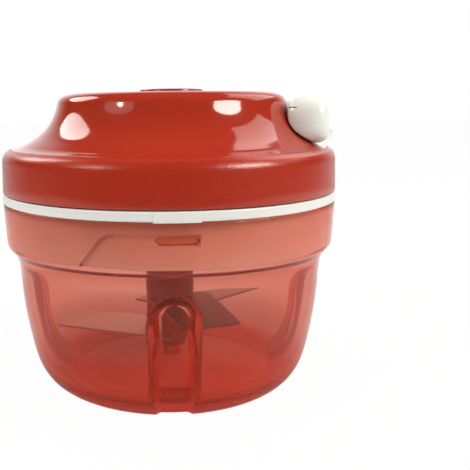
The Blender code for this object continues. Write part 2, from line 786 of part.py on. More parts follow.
pillar_places = []
for i in range(PILLAR_COUNT):
    angle = PILLAR_TURN + math.tau * i / PILLAR_COUNT
    pillar_places.append((PILLAR_CIRCLE * math.cos(angle), PILLAR_CIRCLE * math.sin(angle)))
screw_hole = SCREW_RADIUS + CLEARANCE
head_hole = SCREW_HEAD_RADIUS + CLEARANCE
for i, place in enumerate(pillar_places):
    pillar_low = SKIRT_BOTTOM + HOUSING_PLATE / 2
    join(housing, cylinder(f"pillar_{i + 1}", PILLAR_RADIUS, pillar_low, PILLAR_TOP, place))
for i, place in enumerate(pillar_places):
    cut(housing, cylinder(f"head_hole_{i + 1}", head_hole, SKIRT_BOTTOM - OVERRUN, HEAD_SEAT, place))
    cut(housing, cylinder(f"pillar_hole_{i + 1}", screw_hole, HEAD_SEAT - OVERRUN, PILLAR_TOP + OVERRUN, place))
finish(housing, PALE)

seal = turned(
    "seal_ring",
    [(SEAL_INNER, seal_top), (seal_outer, seal_top), (seal_outer, FLANGE_LOW), (SEAL_INNER, FLANGE_LOW)],
    closed=True,
)
finish(seal, SILICONE)

# Mechanism plate: its stepped tube carries the reel, with the spring round the thicker foot.
plate_low = PILLAR_TOP + CLEARANCE
plate_top = plate_low + PLATE_THICKNESS
tube_bore = SHAFT_RADIUS + CLEARANCE * 4 / 3
drum_top = REEL_TOP - REEL_FLANGE
drum_low = drum_top - DRUM_LENGTH
flange_under = drum_low - REEL_FLANGE
arbor_top = flange_under - CLEARANCE
tube_radius = tube_bore + TUBE_WALL
arbor_radius = tube_radius + ARBOR_STEP
tube_top = REEL_TOP - TUBE_DROP
mechanism = turned(
    "mechanism_plate",
    [
        (tube_bore, tube_top),
        (tube_radius, tube_top),
        (tube_radius, arbor_top),
        (arbor_radius, arbor_top),
        (arbor_radius, plate_top),
        (PLATE_RADIUS, plate_top),
        (PLATE_RADIUS, plate_low),
        (tube_bore, plate_low),
    ],
    closed=True,
)
for i, place in enumerate(pillar_places):
    cut(mechanism, cylinder(f"plate_hole_{i + 1}", screw_hole, plate_low - OVERRUN, plate_top + OVERRUN, place))
finish(mechanism, PALE)

# Cover: one turned shell whose dome stands a little to the right of the band.
rim_radius = NECK_RADIUS - RIM_FILLET
rim_height = NECK_TOP + RIM_FILLET
cover_line = [(0, rim_height + DOME_RISE), (rim_radius / 2, rim_height + DOME_RISE * 3 / 4)]
for i in range(RIM_POINTS + 1):
    angle = math.pi / 2 * (1 - i / RIM_POINTS)
    cover_line.append((rim_radius + RIM_FILLET * math.cos(angle), NECK_TOP + RIM_FILLET * math.sin(angle)))
for i in range(1, FLARE_POINTS + 1):
    share = (1 - i / FLARE_POINTS) ** FLARE_BEND
    run = (1 - (1 - share) ** FLARE_BEND) ** FLARE_FLATNESS
    cover_line.append(
        (
            FLARE_RADIUS + (NECK_RADIUS - FLARE_RADIUS) * run,
            COVER_LOW + FLARE_START + (NECK_HEIGHT - FLARE_START) * share,
        )
    )
cover_line += [
    (BAND_EDGE_RADIUS, COVER_LOW + BAND_EDGE_HEIGHT),
    (BAND_TOP_RADIUS - SHOULDER_DROP, COVER_LOW + BAND_HEIGHT + SHOULDER_STEP),
    (BAND_TOP_RADIUS, COVER_LOW + BAND_HEIGHT),
    (BAND_LOW_RADIUS, COVER_LOW),
]


def closed_inside(line, distance):
    """The line moved inward, with its first point kept on the axis and its last at the line's height."""
    moved = offset(line, -distance)
    moved[0] = (0, moved[0][1])
    moved[-1] = (moved[-1][0], line[-1][1])
    return moved


def shift_dome(obj):
    """Moves the dome sideways, more with height, and leaves the band where it is."""
    graph = bpy.context.evaluated_depsgraph_get()
    mesh = bpy.data.meshes.new_from_object(obj.evaluated_get(graph))
    obj.modifiers.clear()
    obj.data = mesh
    start = COVER_LOW + BAND_EDGE_HEIGHT
    for vertex in mesh.vertices:
        share = (vertex.co.z - start) / (NECK_TOP - start)
        vertex.co.x += DOME_SHIFT * min(max(share, 0), 1)


cover = turned("cover", cover_line + list(reversed(closed_inside(cover_line, COVER_WALL))), closed=False)
shift_dome(cover)
boss_low = plate_top + CLEARANCE
for i, place in enumerate(pillar_places):
    boss = cylinder(f"cover_boss_{i + 1}", PILLAR_RADIUS, boss_low, NECK_TOP, place)
    cover_middle = turned(
        f"cover_middle_{i + 1}",
        closed_inside(cover_line, COVER_WALL / 2) + [(0, COVER_LOW)],
        closed=False,
        home=cutters,
    )
    shift_dome(cover_middle)
    keep(boss, cover_middle)
    join(cover, boss)
screw_seat = HEAD_SEAT - CLEARANCE
for i, place in enumerate(pillar_places):
    hole_top = screw_seat + SCREW_LENGTH + CLEARANCE
    cut(cover, cylinder(f"boss_hole_{i + 1}", screw_hole, boss_low - OVERRUN, hole_top, place))
cap_centre = (DOME_SHIFT, 0)
stem_low = rim_height + DOME_RISE - CAP_STEM_LENGTH
cut(cover, cylinder("stem_hole", CAP_STEM_RADIUS + CLEARANCE, stem_low, rim_height + OVERRUN, cap_centre))
guide_radius = EYELET_BORE + EYELET_WALL
guide_flange = guide_radius + EYELET_RIM
cut(cover, rod_along_x("guide_hole", guide_radius + CLEARANCE, EYELET_BACK, BAND_TOP_RADIUS, CORD_HEIGHT))
finish(cover, RED)

for i, place in enumerate(pillar_places):
    head_low = screw_seat - SCREW_HEAD_HEIGHT
    screw = turned(
        f"lid_screw_{i + 1}",
        [
            (0, screw_seat + SCREW_LENGTH),
            (SCREW_RADIUS, screw_seat + SCREW_LENGTH),
            (SCREW_RADIUS, screw_seat),
            (SCREW_HEAD_RADIUS, screw_seat),
            (SCREW_HEAD_RADIUS, head_low),
            (0, head_low),
        ],
        closed=False,
        steps=SMALL_STEPS,
    )
    screw.location = (*place, 0)
    finish(screw, STEEL)

cap_low = rim_height + DOME_RISE + CLEARANCE
cap = turned(
    "centre_cap",
    [
        (0, cap_low + CAP_THICKNESS),
        (CAP_RADIUS - CAP_EDGE, cap_low + CAP_THICKNESS),
        (CAP_RADIUS, cap_low + CAP_THICKNESS - CAP_EDGE),
        (CAP_RADIUS, cap_low),
        (CAP_STEM_RADIUS, cap_low),
        (CAP_STEM_RADIUS, stem_low),
        (0, stem_low),
    ],
    closed=False,
)
cap.location = (*cap_centre, 0)
finish(cap, RED)

guide = turned(
    "cord_guide",
    [
        (EYELET_BORE, EYELET_LENGTH),
        (guide_radius, EYELET_LENGTH),
        (guide_radius, EYELET_FLANGE),
        (guide_flange, EYELET_FLANGE),
        (guide_flange, 0),
        (EYELET_BORE, 0),
    ],
    closed=True,
    steps=SMALL_STEPS,
)
guide.rotation_euler = (0, math.pi / 2, 0)
guide.location = (EYELET_BACK, 0, CORD_HEIGHT)
finish(guide, PALE)

# Bearing, drive shaft and clip.
bush_top = bearing_top + CLEARANCE + BUSH_FLANGE
bush = turned(
    "lower_bush",
    [
        (SHAFT_RADIUS + CLEARANCE, bush_top),
        (BEARING_RADIUS, bush_top),
        (BEARING_RADIUS, bearing_top + CLEARANCE),
        (bush_radius, bearing_top + CLEARANCE),
        (bush_radius, SKIRT_BOTTOM),
        (SHAFT_RADIUS + CLEARANCE, SKIRT_BOTTOM),
    ],
    closed=True,
    steps=SMALL_STEPS,
)
finish(bush, BRONZE)

rotor_axis = empty("rotor_axis")
clip_low = bush_top + CLEARANCE
clip_high = clip_low + CLIP_HEIGHT
clip_gap = CLEARANCE / 2
wheel_low = REEL_TOP
wheel_high = wheel_low + WHEEL_THICKNESS
shaft_top = wheel_high + SHAFT_PROUD
groove_radius = SHAFT_RADIUS - CLIP_GROOVE
clip_radius = groove_radius + CLIP_WIDTH
shaft_shoulder = wheel_low - CLEARANCE
dog_top = SKIRT_BOTTOM - CLEARANCE
shaft = turned(
    "drive_shaft",
    [
        (0, shaft_shoulder),
        (SHAFT_RADIUS, shaft_shoulder),
        (SHAFT_RADIUS, clip_high + clip_gap),
        (groove_radius, clip_high + clip_gap),
        (groove_radius, clip_low - clip_gap),
        (SHAFT_RADIUS, clip_low - clip_gap),
        (SHAFT_RADIUS, POST_TOP),
        (0, POST_TOP),
    ],
    closed=False,
    steps=SMALL_STEPS,
)
join(shaft, cylinder("dog", DOG_RADIUS, DOG_BOTTOM, dog_top, sides=6))
join(
    shaft,
    box("square", (-SQUARE_HALF, -SQUARE_HALF, clip_high + OVERRUN), (SQUARE_HALF, SQUARE_HALF, shaft_top)),
)
finish(shaft, STEEL).parent = rotor_axis

clip = turned(
    "shaft_clip",
    [
        (groove_radius + CLEARANCE, clip_high),
        (clip_radius, clip_high),
        (clip_radius, clip_low),
        (groove_radius + CLEARANCE, clip_low),
    ],
    closed=True,
    steps=SMALL_STEPS,
)
cut(
    clip,
    box(
        "clip_gap",
        (0, -CLIP_GAP / 2, clip_low - OVERRUN),
        (clip_radius + OVERRUN, CLIP_GAP / 2, clip_high + OVERRUN),
    ),
)
finish(clip, DARK_STEEL).parent = rotor_axis

wheel_outline = []
for i in range(TOOTH_COUNT):
    angle = TOOTH_TURN + math.tau * i / TOOTH_COUNT
    for radius in (WHEEL_ROOT, WHEEL_TIP):
        wheel_outline.append((radius * math.cos(angle), radius * math.sin(angle)))
hole_half = SQUARE_HALF + CLEARANCE
square_hole = [(-hole_half, -hole_half), (hole_half, -hole_half), (hole_half, hole_half), (-hole_half, hole_half)]
wheel = plate("ratchet_wheel", [wheel_outline, square_hole], wheel_low, wheel_high)
finish(wheel, DARK_STEEL, smooth_shade=False).parent = rotor_axis

# Reel: drum between two flanges, and the cup that holds the spring.
reel_axis = empty("reel_axis")
reel_bore = tube_radius + CLEARANCE
hub_top = REEL_TOP - REEL_HUB_DROP
cup_low = plate_top + CUP_GAP
cup_inner = CUP_RADIUS - CUP_WALL
reel = turned(
    "cord_reel",
    [
        (reel_bore, hub_top),
        (REEL_HUB_RADIUS, hub_top),
        (REEL_HUB_RADIUS, drum_low),
        (REEL_POCKET_RADIUS, drum_low),
        (REEL_POCKET_RADIUS, REEL_TOP),
        (REEL_FLANGE_RADIUS, REEL_TOP),
        (REEL_FLANGE_RADIUS, drum_top),
        (REEL_CORE_RADIUS, drum_top),
        (REEL_CORE_RADIUS, drum_low),
        (REEL_FLANGE_RADIUS, drum_low),
        (REEL_FLANGE_RADIUS, flange_under),
        (CUP_RADIUS, flange_under),
        (CUP_RADIUS, cup_low),
        (cup_inner, cup_low),
        (cup_inner, flange_under),
        (reel_bore, flange_under),
    ],
    closed=True,
)
pawl_low = REEL_TOP + CLEARANCE
pawl_high = pawl_low + PAWL_THICKNESS
pawl_turns = (0, math.pi)
for i, turn in enumerate(pawl_turns):
    place = (PAWL_CIRCLE * math.cos(turn), PAWL_CIRCLE * math.sin(turn))
    join(reel, cylinder(f"pawl_pin_{i + 1}", PAWL_PIN_RADIUS, drum_top + CLEARANCE, pawl_high + CLEARANCE, place))
finish(reel, PALE).parent = reel_axis

tip = Vector((PAWL_TIP_RADIUS * math.cos(PAWL_TIP_TURN), PAWL_TIP_RADIUS * math.sin(PAWL_TIP_TURN)))
arm = tip - Vector((PAWL_CIRCLE, 0))
arm_turn = math.atan2(arm.y, arm.x)
pawl_outline = circle(PAWL_EYE_RADIUS, 10, start=math.pi / 2, sweep=math.pi * 10 / 9)
pawl_outline += [(arm.length, -PAWL_TIP_WIDTH / 2), (arm.length, PAWL_TIP_WIDTH / 2)]
for i, turn in enumerate(pawl_turns):
    place = (PAWL_CIRCLE * math.cos(turn), PAWL_CIRCLE * math.sin(turn))
    pawl = plate(
        f"drive_pawl_{i + 1}",
        [pawl_outline, circle(PAWL_PIN_RADIUS + CLEARANCE, SMALL_STEPS)],
        pawl_low,
        pawl_high,
        turn=arm_turn + turn,
        at=place,
    )
    finish(pawl, DARK_STEEL).parent = reel_axis

spring_low = plate_top + SPRING_MARGIN
spring_high = flange_under - SPRING_MARGIN
spring_start = arbor_radius + CLEARANCE + SPRING_THICKNESS / 2
spring_end = cup_inner - CLEARANCE - SPRING_THICKNESS / 2
inner_edge = []
outer_edge = []
for i in range(SPRING_TURNS * SPRING_STEPS + 1):
    angle = math.tau * i / SPRING_STEPS
    radius = spring_start + (spring_end - spring_start) * i / (SPRING_TURNS * SPRING_STEPS)
    for edge, side in ((inner_edge, -1), (outer_edge, 1)):
        place = radius + side * SPRING_THICKNESS / 2
        edge.append((place * math.cos(angle), place * math.sin(angle)))
spring = plate("recoil_spring", [outer_edge + list(reversed(inner_edge))], spring_low, spring_high)
finish(spring, STEEL)

# Cord: wound on the drum, then straight to the eyelet and on to the knot in the handle.
wound_radius = REEL_CORE_RADIUS + CORD_RADIUS + CLEARANCE
bend = Vector((EYELET_BACK - CORD_BEND_RUN, 0, CORD_HEIGHT))
leave = -math.acos(wound_radius / bend.x)
turns = CORD_WOUND_HEIGHT / CORD_PITCH
wound_points = round(turns * CORD_TURN_POINTS)
winding_route = []
for i in range(wound_points + 1):
    share = i / wound_points
    angle = leave - CLEARANCE / wound_radius - math.tau * turns * share
    height = CORD_HEIGHT - CORD_WOUND_HEIGHT * share
    winding_route.append((wound_radius * math.cos(angle), wound_radius * math.sin(angle), height))
winding = tube("cord_winding", winding_route, CORD_RADIUS)
finish(winding, CORD_WHITE).parent = reel_axis

handle_axis = empty("handle_axis", (EYELET_BACK, 0, CORD_HEIGHT))
pocket_start = KNOT_PLACE - KNOT_RADIUS - CLEARANCE
start = Vector((wound_radius * math.cos(leave), wound_radius * math.sin(leave), CORD_HEIGHT))
before = bend + (start - bend).normalized() * CORD_BEND_RUN
after = bend + Vector((CORD_BEND_RUN, 0, 0))
route = []
steps = math.ceil((before - start).length / CORD_RUN_STEP)
route += [start.lerp(before, i / steps) for i in range(steps)]
route += [
    before * (1 - share) ** 2 + bend * 2 * share * (1 - share) + after * share**2 for share in (0, 0.25, 0.5, 0.75)
]
end = Vector((pocket_start, 0, CORD_HEIGHT))
steps = math.ceil((end - after).length / CORD_RUN_STEP)
route += [after.lerp(end, i / steps) for i in range(steps + 1)]
cord = tube("pull_cord", route, CORD_RADIUS)
finish(cord, CORD_WHITE)
wound_length = math.hypot(wound_radius * math.tau * turns, CORD_WOUND_HEIGHT)
run_length = sum((b - a).length for a, b in zip(route, route[1:]))
print(f"cord: {wound_length:.4f} m wound and {run_length:.4f} m to the knot")
print(f"least gap between turns: {CORD_PITCH - CORD_RADIUS * 2:.5f} m")

# Handle: a bar that follows the lid round, with rounded ends.
section_centre = Vector(((GRIP_INNER_RADIUS + GRIP_OUTER_RADIUS) / 2, (GRIP_BOTTOM + GRIP_TOP) / 2))
stations = [(-place, scale) for place, scale in zip(GRIP_STATION_SHARES, GRIP_SCALE_SHARES)][:0:-1]
stations += list(zip(GRIP_STATION_SHARES, GRIP_SCALE_SHARES))
rings = []
for place, scale in stations:
    angle = GRIP_HALF_TURN * place
    ring = []
    for radius_share, height_share in GRIP_SECTION_SHARES:
        corner_point = Vector(
            (
                GRIP_INNER_RADIUS + (GRIP_OUTER_RADIUS - GRIP_INNER_RADIUS) * radius_share,
                GRIP_BOTTOM + (GRIP_TOP - GRIP_BOTTOM) * height_share,
            )
        )
        radius, height = section_centre + (corner_point - section_centre) * scale
        ring.append((radius * math.cos(angle), radius * math.sin(angle), height))
    rings.append(ring)
grip = loft("handle_grip", rings)
cut(grip, rod_along_x("cord_hole", EYELET_BORE, EYELET_BACK, KNOT_PLACE, CORD_HEIGHT))
cut(grip, rod_along_x("knot_pocket", POCKET_RADIUS, pocket_start, GRIP_OUTER_RADIUS + OVERRUN, CORD_HEIGHT))
finish(grip, PALE).parent = handle_axis
grip.matrix_parent_inverse = handle_axis.matrix_world.inverted()

plug_end = GRIP_OUTER_RADIUS - PLUG_INSET
plug = rod_along_x(
    "handle_plug", POCKET_RADIUS - CLEARANCE, plug_end - PLUG_THICKNESS, plug_end, CORD_HEIGHT, home=parts
)
finish(plug, PALE)

knot_mesh = bpy.data.meshes.new("cord_knot")
bm = bmesh.new()
bmesh.ops.create_uvsphere(bm, u_segments=12, v_segments=8, radius=KNOT_RADIUS)
bm.to_mesh(knot_mesh)
bm.free()
knot = new_object("cord_knot", knot_mesh, parts)
knot.location = (KNOT_PLACE, 0, CORD_HEIGHT)
finish(knot, CORD_WHITE)

# Blade post with three open slots, and the flat blades in them.
post_low = boss_top + CLEARANCE
foot_top = post_low + POST_FOOT_HEIGHT
post = turned(
    "blade_post",
    [
        (0, POST_TOP),
        (POST_RADIUS - POST_EDGE, POST_TOP),
        (POST_RADIUS, POST_TOP - POST_EDGE),
        (POST_RADIUS, foot_top + POST_TAPER_HEIGHT),
        (POST_FOOT_RADIUS, foot_top),
        (POST_FOOT_RADIUS, post_low),
        (pin_hole, post_low),
        (pin_hole, pin_top + CLEARANCE),
        (0, pin_top + CLEARANCE),
    ],
    closed=False,
    steps=TURN_STEPS,
)
cut(
    post,
    cylinder("dog_socket", DOG_RADIUS + CLEARANCE * 1.2, DOG_BOTTOM - CLEARANCE, POST_TOP + OVERRUN, sides=6),
)
blade_outline = [
    (-BLADE_BACK, BLADE_LEADING),
    (-BLADE_BACK, -BLADE_ROOT_TRAILING),
    (BLADE_TRAILING_START, -BLADE_TRAILING),
    (BLADE_REACH, -BLADE_TIP_TRAILING),
    (BLADE_REACH, BLADE_TIP_LEADING),
]
slot_reach = POST_RADIUS + OVERRUN
slot_half = BLADE_THICKNESS / 2 + CLEARANCE
for name, (turn, height) in BLADES.items():
    cut(
        post,
        box(
            f"{name}_slot",
            (-BLADE_BACK - CLEARANCE, -slot_reach, height - slot_half),
            (slot_reach, slot_reach, height + slot_half),
            turn=turn,
        ),
    )
    blade = plate(name, [blade_outline], height - BLADE_THICKNESS / 2, height + BLADE_THICKNESS / 2, turn=turn)
    finish(blade, STEEL, smooth_shade=False).parent = rotor_axis
finish(post, POST_RED).parent = rotor_axis
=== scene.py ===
from math import asin, cos, hypot, pi, radians, sin, tan, tau

import bmesh
import bpy
from mathutils import Matrix, Vector


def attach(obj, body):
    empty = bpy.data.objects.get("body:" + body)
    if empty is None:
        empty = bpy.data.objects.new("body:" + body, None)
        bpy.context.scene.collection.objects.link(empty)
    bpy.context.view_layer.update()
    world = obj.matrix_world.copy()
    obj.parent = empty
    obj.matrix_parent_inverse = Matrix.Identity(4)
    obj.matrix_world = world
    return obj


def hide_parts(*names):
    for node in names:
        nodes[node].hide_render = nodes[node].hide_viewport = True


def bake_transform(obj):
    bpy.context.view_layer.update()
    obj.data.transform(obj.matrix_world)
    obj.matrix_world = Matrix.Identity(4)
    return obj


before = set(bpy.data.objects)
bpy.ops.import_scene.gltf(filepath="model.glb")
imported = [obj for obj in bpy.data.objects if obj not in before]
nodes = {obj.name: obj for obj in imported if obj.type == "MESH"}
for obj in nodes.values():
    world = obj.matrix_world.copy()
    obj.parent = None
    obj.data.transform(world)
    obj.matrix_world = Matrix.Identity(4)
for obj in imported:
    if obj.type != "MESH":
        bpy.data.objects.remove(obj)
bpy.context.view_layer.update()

# Lengths below are in millimetres, and every line is (distance from the axis, height).
MM = 0.001
SIDES = 240
ROUND_SIDES = 48
CORD_SIDES = 16
BEVEL_ANGLE = radians(50)

CAMERA_PLACE = (0, -270.0, 109.49)
CAMERA_PITCH = -0.189
CAMERA_ROLL = 0.01
CAMERA_LENS = 51.626
CAMERA_SHIFT = 0.1396
CAMERA_SENSOR = 36
CAMERA_NEAR = 0.005

WALL_OUTSIDE = (
    (64.90, 73.3), (64.78, 70.0), (64.62, 66.0), (64.40, 61.2), (64.28, 59.4), (64.08, 58.1), (63.60, 57.2),
    (62.80, 56.3), (61.90, 55.2), (61.10, 53.9), (60.50, 52.4), (60.00, 50.4), (59.80, 48.5), (59.62, 46.0),
    (59.38, 42.0), (58.92, 36.0), (58.20, 30.0), (57.20, 24.0), (56.05, 18.0), (55.35, 15.0), (54.50, 12.0),
    (53.30, 9.0), (51.55, 6.0), (49.85, 4.0), (47.60, 2.2), (45.20, 0.9), (43.90, 0.25), (43.00, 0.0),
)
WALL_INSIDE = (
    (62.20, 73.6), (62.20, 70.6), (62.20, 66.4), (62.20, 60.0), (62.14, 58.2), (61.80, 57.3), (61.10, 56.85),
    (60.00, 56.6), (58.95, 56.15), (58.25, 55.3), (57.95, 54.0), (57.80, 52.0), (57.55, 48.0), (57.18, 42.0),
    (56.72, 36.0), (56.02, 30.3), (55.05, 24.3), (53.85, 18.4), (53.20, 15.5), (52.35, 12.7), (51.25, 10.3),
    (50.10, 8.9), (48.60, 8.15), (47.00, 8.0),
)
GROOVE_FLOOR = (
    (0, 41.2), (1.5, 43.1), (3, 44.7), (6, 47.0), (9, 48.9), (12, 50.4), (15, 51.6), (18, 52.55), (22, 53.45),
    (26, 54.0), (31, 54.35), (38, 54.65), (44, 54.8), (50, 54.9),
)
BULGE_FACE = (
    (8, 41.0), (9, 42.2), (10.3, 43.9), (12, 46.0), (13.4, 47.3), (15.5, 48.6), (18, 49.75), (22, 50.9),
    (27, 51.55), (33, 51.85), (40, 52.05), (46, 52.2), (52, 52.4),
)
GROOVE_TURNS = tuple(radians(-88.5 + 90 * i) for i in range(4))
GROOVE_TOP = 46.5
GROOVE_EDGES = (4.7, 6.95)
BULGE_TOP = 48.6
BULGE_EDGES = (7.6, 9.1)
LUG_TURNS = tuple(radians(-87.75 + 120 * i) for i in range(3))
LUG_HALF = 7.0
LUG_HEIGHTS = (66.4, 69.3)
LUG_DEPTH = 1.5
LUG_EASE = 0.45
COLLAR_START = 60
FLAT_FLOOR = 38
FOOT_EASE = 0.3

# The bowl's grid: how far its columns are apart, and (half width, step) where they are close together.
COLUMN_STEP = radians(2.4)
COLUMNS_END = pi - radians(0.2)
GROOVE_COLUMNS = (radians(13.2), radians(0.42))
LUG_COLUMNS = (radians(7.6), radians(0.6))

# Rows that are close together: (low, high, height of the first, step down, how many)
LUG_ROWS = (66.2, 70.7, 70.6, 0.3, 15)
BULGE_ROWS = (39, 50, 49.8, 0.45, 24)
GROOVE_ROWS = (38, 48, 47.9, 0.42, 24)

# (along, height, run of its rounding) as seen from outside
TRACK_OUTLINE = (
    (-32.4, 56.5, 0), (-31.8, 58.2, 1), (-23.4, 69.7, 3.5), (7.5, 69.7, 0.6), (7.5, 66.0, 0.6),
    (-15.2, 66.0, 5.5), (-15.4, 56.5, 0),
)
TRACK_REACH = (40, 70)
TRACK_RING = ((60.3, 56), (64, 56), (64, 72), (60.3, 72))

PILLAR_CIRCLE = 50
PILLAR_TURNS = tuple(radians(60 + 120 * i) for i in range(3))
TAB_HALF_WIDTH = 7.6
TAB_FACES = (65.25, 64.95)
TAB_HEIGHTS = (73.9, 77.2)
TAB_STEPS = 8
TAB_ROUNDING = (0.12, 3)

BAND_SHOULDER = ((64.6, 88.0), (64.55, 89.6), (64.38, 90.8), (64.0, 91.8), (63.4, 92.7), (61.9, 93.7))
DOME_LINE = (
    (60.90, 94.0), (58.00, 94.75), (55.60, 96.0), (52.35, 98.0), (49.95, 100.0), (48.12, 102.0),
    (46.86, 104.0), (45.92, 106.0), (45.20, 108.0), (44.68, 110.0), (44.40, 111.2), (43.75, 112.45),
    (42.50, 113.5), (40.80, 114.15), (38.60, 114.47), (30.00, 114.62), (20.00, 114.85), (10.00, 115.05),
)
DOME_SHIFT = 1.3
DOME_SHIFT_HEIGHTS = (92.0, 110.1)
SEAM_HEIGHT = 93.9
SEAM_BLUR = 0.05

HANDLE_SECTION = (
    (47.7, 110.3), (49.3, 112.0), (52.0, 112.85), (54.6, 112.9), (57.4, 112.5), (60.2, 111.2), (61.6, 109.0),
    (62.2, 106.1), (62.7, 103.0), (63.1, 99.9), (62.6, 98.0), (60.8, 96.5), (58.4, 95.65), (55.8, 96.4),
    (52.9, 98.1), (50.3, 100.9), (48.3, 104.3), (47.5, 107.7),
)
HANDLE_HALF_TURN = radians(26)
HANDLE_SEAT = (49.2, 102.5)
HANDLE_END = 0.22
HANDLE_END_STEPS = 9
HANDLE_END_ROUNDNESS = 0.55
HANDLE_STEPS = 7
PARTING_SLIT = ((41, -28), (46.6, -28), (46.6, -17), (41, -17))
PARTING_SLIT_HEIGHTS = (108.35, 108.75)

CORD_RADIUS = 1.0
CORD_HEIGHT = 105.0
CORD_BEND = 39.8
CORD_BEND_STEPS = 12
WOUND_RADIUS = 20.3
WOUND_START = -pi / 3
WOUND_TURNS = 3.06
WOUND_DROP = 7.5
WOUND_STEPS = 121
KNOT_PLACE = 55.5
KNOT_SIZE = 0.52
KNOT_CORD_RADIUS = 0.85
KNOT_STEPS = 63

# The cord's points from the eyelet to the knot: (first, step, how many)
CORD_RUN = (41.0, 0.4, 30)

# Holes along X: (radius, start, end)
EYELET_HOLE = (2.7, 36, 60)
CORD_HOLE = (1.5, 44, KNOT_PLACE)
KNOT_POCKET = (3.6, 52.6, 66)

BLADE_OUTLINE = ((-3.5, 16.5), (-3.5, -7.5), (7.5, -11.0), (47.0, -13.0), (47.0, 8.3))
BLADE_HALF_THICKNESS = 0.45
BLADE_GRIND = 2.6
BLADE_GRIND_DROP = 0.5
BLADE_ROUNDING = (0.03, 2)
BLADE_STEEL = ((0.56, 0.55, 0.54), (0.70, 0.69, 0.68))

# Each blade's turn in degrees, its height and its tone, which darkens its steel to paint the shade and dark
# reflections inside the bowl, most of all on the high blade
BLADES = {
    "blade_low": (168, 19.5, 0.58),
    "blade_middle": (49, 29.0, 0.36),
    "blade_high": (-69, 33.7, 0.12),
}

TINT = (0.90, 0.46, 0.32, 1.0)
SEEN_DENSITY = 440.0
LIT_DENSITY = 140.0

# Lengths of the stage are in metres. A lamp is (name, azimuth, elevation, across, tall, glow, shape).
FLOOR_SIZE = (8, 4.2)
FLOOR_MIDDLE = 1.9
LAMP_DISTANCE = 1.4
LAMP_COLOUR = (1.0, 0.93, 0.87)
LAMP_TARGET = Vector((0, 0, 0.09))
FILL_LAMPS = (
    ("fill_left", -63, 34, 26, 26, 6.6),
    ("fill_right", 66, 32, 26, 26, 10.0),
    ("fill_top", 180, 75, 30, 20, 4.4),
)
GLEAM_LAMPS = (
    ("gleam_left", -119, 35, 33, 29, 6.0, "ELLIPSE"),
    ("gleam_left_disc", -53, 25, 29, 22, 1.1, "ELLIPSE"),
    ("gleam_left_spot", -51, 23, 5, 8, 30.0, "ELLIPSE"),
    ("gleam_right", 56, 23, 27, 19, 17.0, "ELLIPSE"),
    ("gleam_right_back", 116, 42, 44, 34, 2.8),
)


def paint(red, green, blue):
    """A colour written as it looks on screen, from 0 to 255, as the linear values that shaders take."""
    linear = [((value / 255 + 0.055) / 1.055) ** 2.4 for value in (red, green, blue)]
    return (*linear, 1.0)


class Wire:
    """A number on its way between nodes. Sums and products with it add Math nodes."""

    def __init__(self, finish, socket):
        self.finish = finish
        self.socket = socket

    def maths(self, operation, *values):
        return self.finish.node("Math", {"operation": operation}, dict(enumerate(values)))

    def __add__(self, other):
        return self.maths("ADD", self, other)

    def __radd__(self, other):
        return self.maths("ADD", other, self)

    def __sub__(self, other):
        return self.maths("SUBTRACT", self, other)

    def __rsub__(self, other):
        return self.maths("SUBTRACT", other, self)

    def __mul__(self, other):
        return self.maths("MULTIPLY", self, other)

    def __rmul__(self, other):
        return self.maths("MULTIPLY", other, self)

    def larger(self, other):
        return self.maths("MAXIMUM", self, other)

    def wave(self):
        return self.maths("SINE", self)

    def turn_of(self, across):
        """The angle of the point (across, self), in radians."""
        return self.maths("ARCTAN2", self, across)

    def reach(self, other):
        """The length of the line (self, other)."""
        return self.maths("SQRT", self * self + other * other)

    def rising(self, start, end):
        """0 before start, 1 after end, and smooth between them."""
        values = {"Value": self, "From Min": start, "From Max": end}
        return self.finish.node("MapRange", {"interpolation_type": "SMOOTHSTEP"}, values)


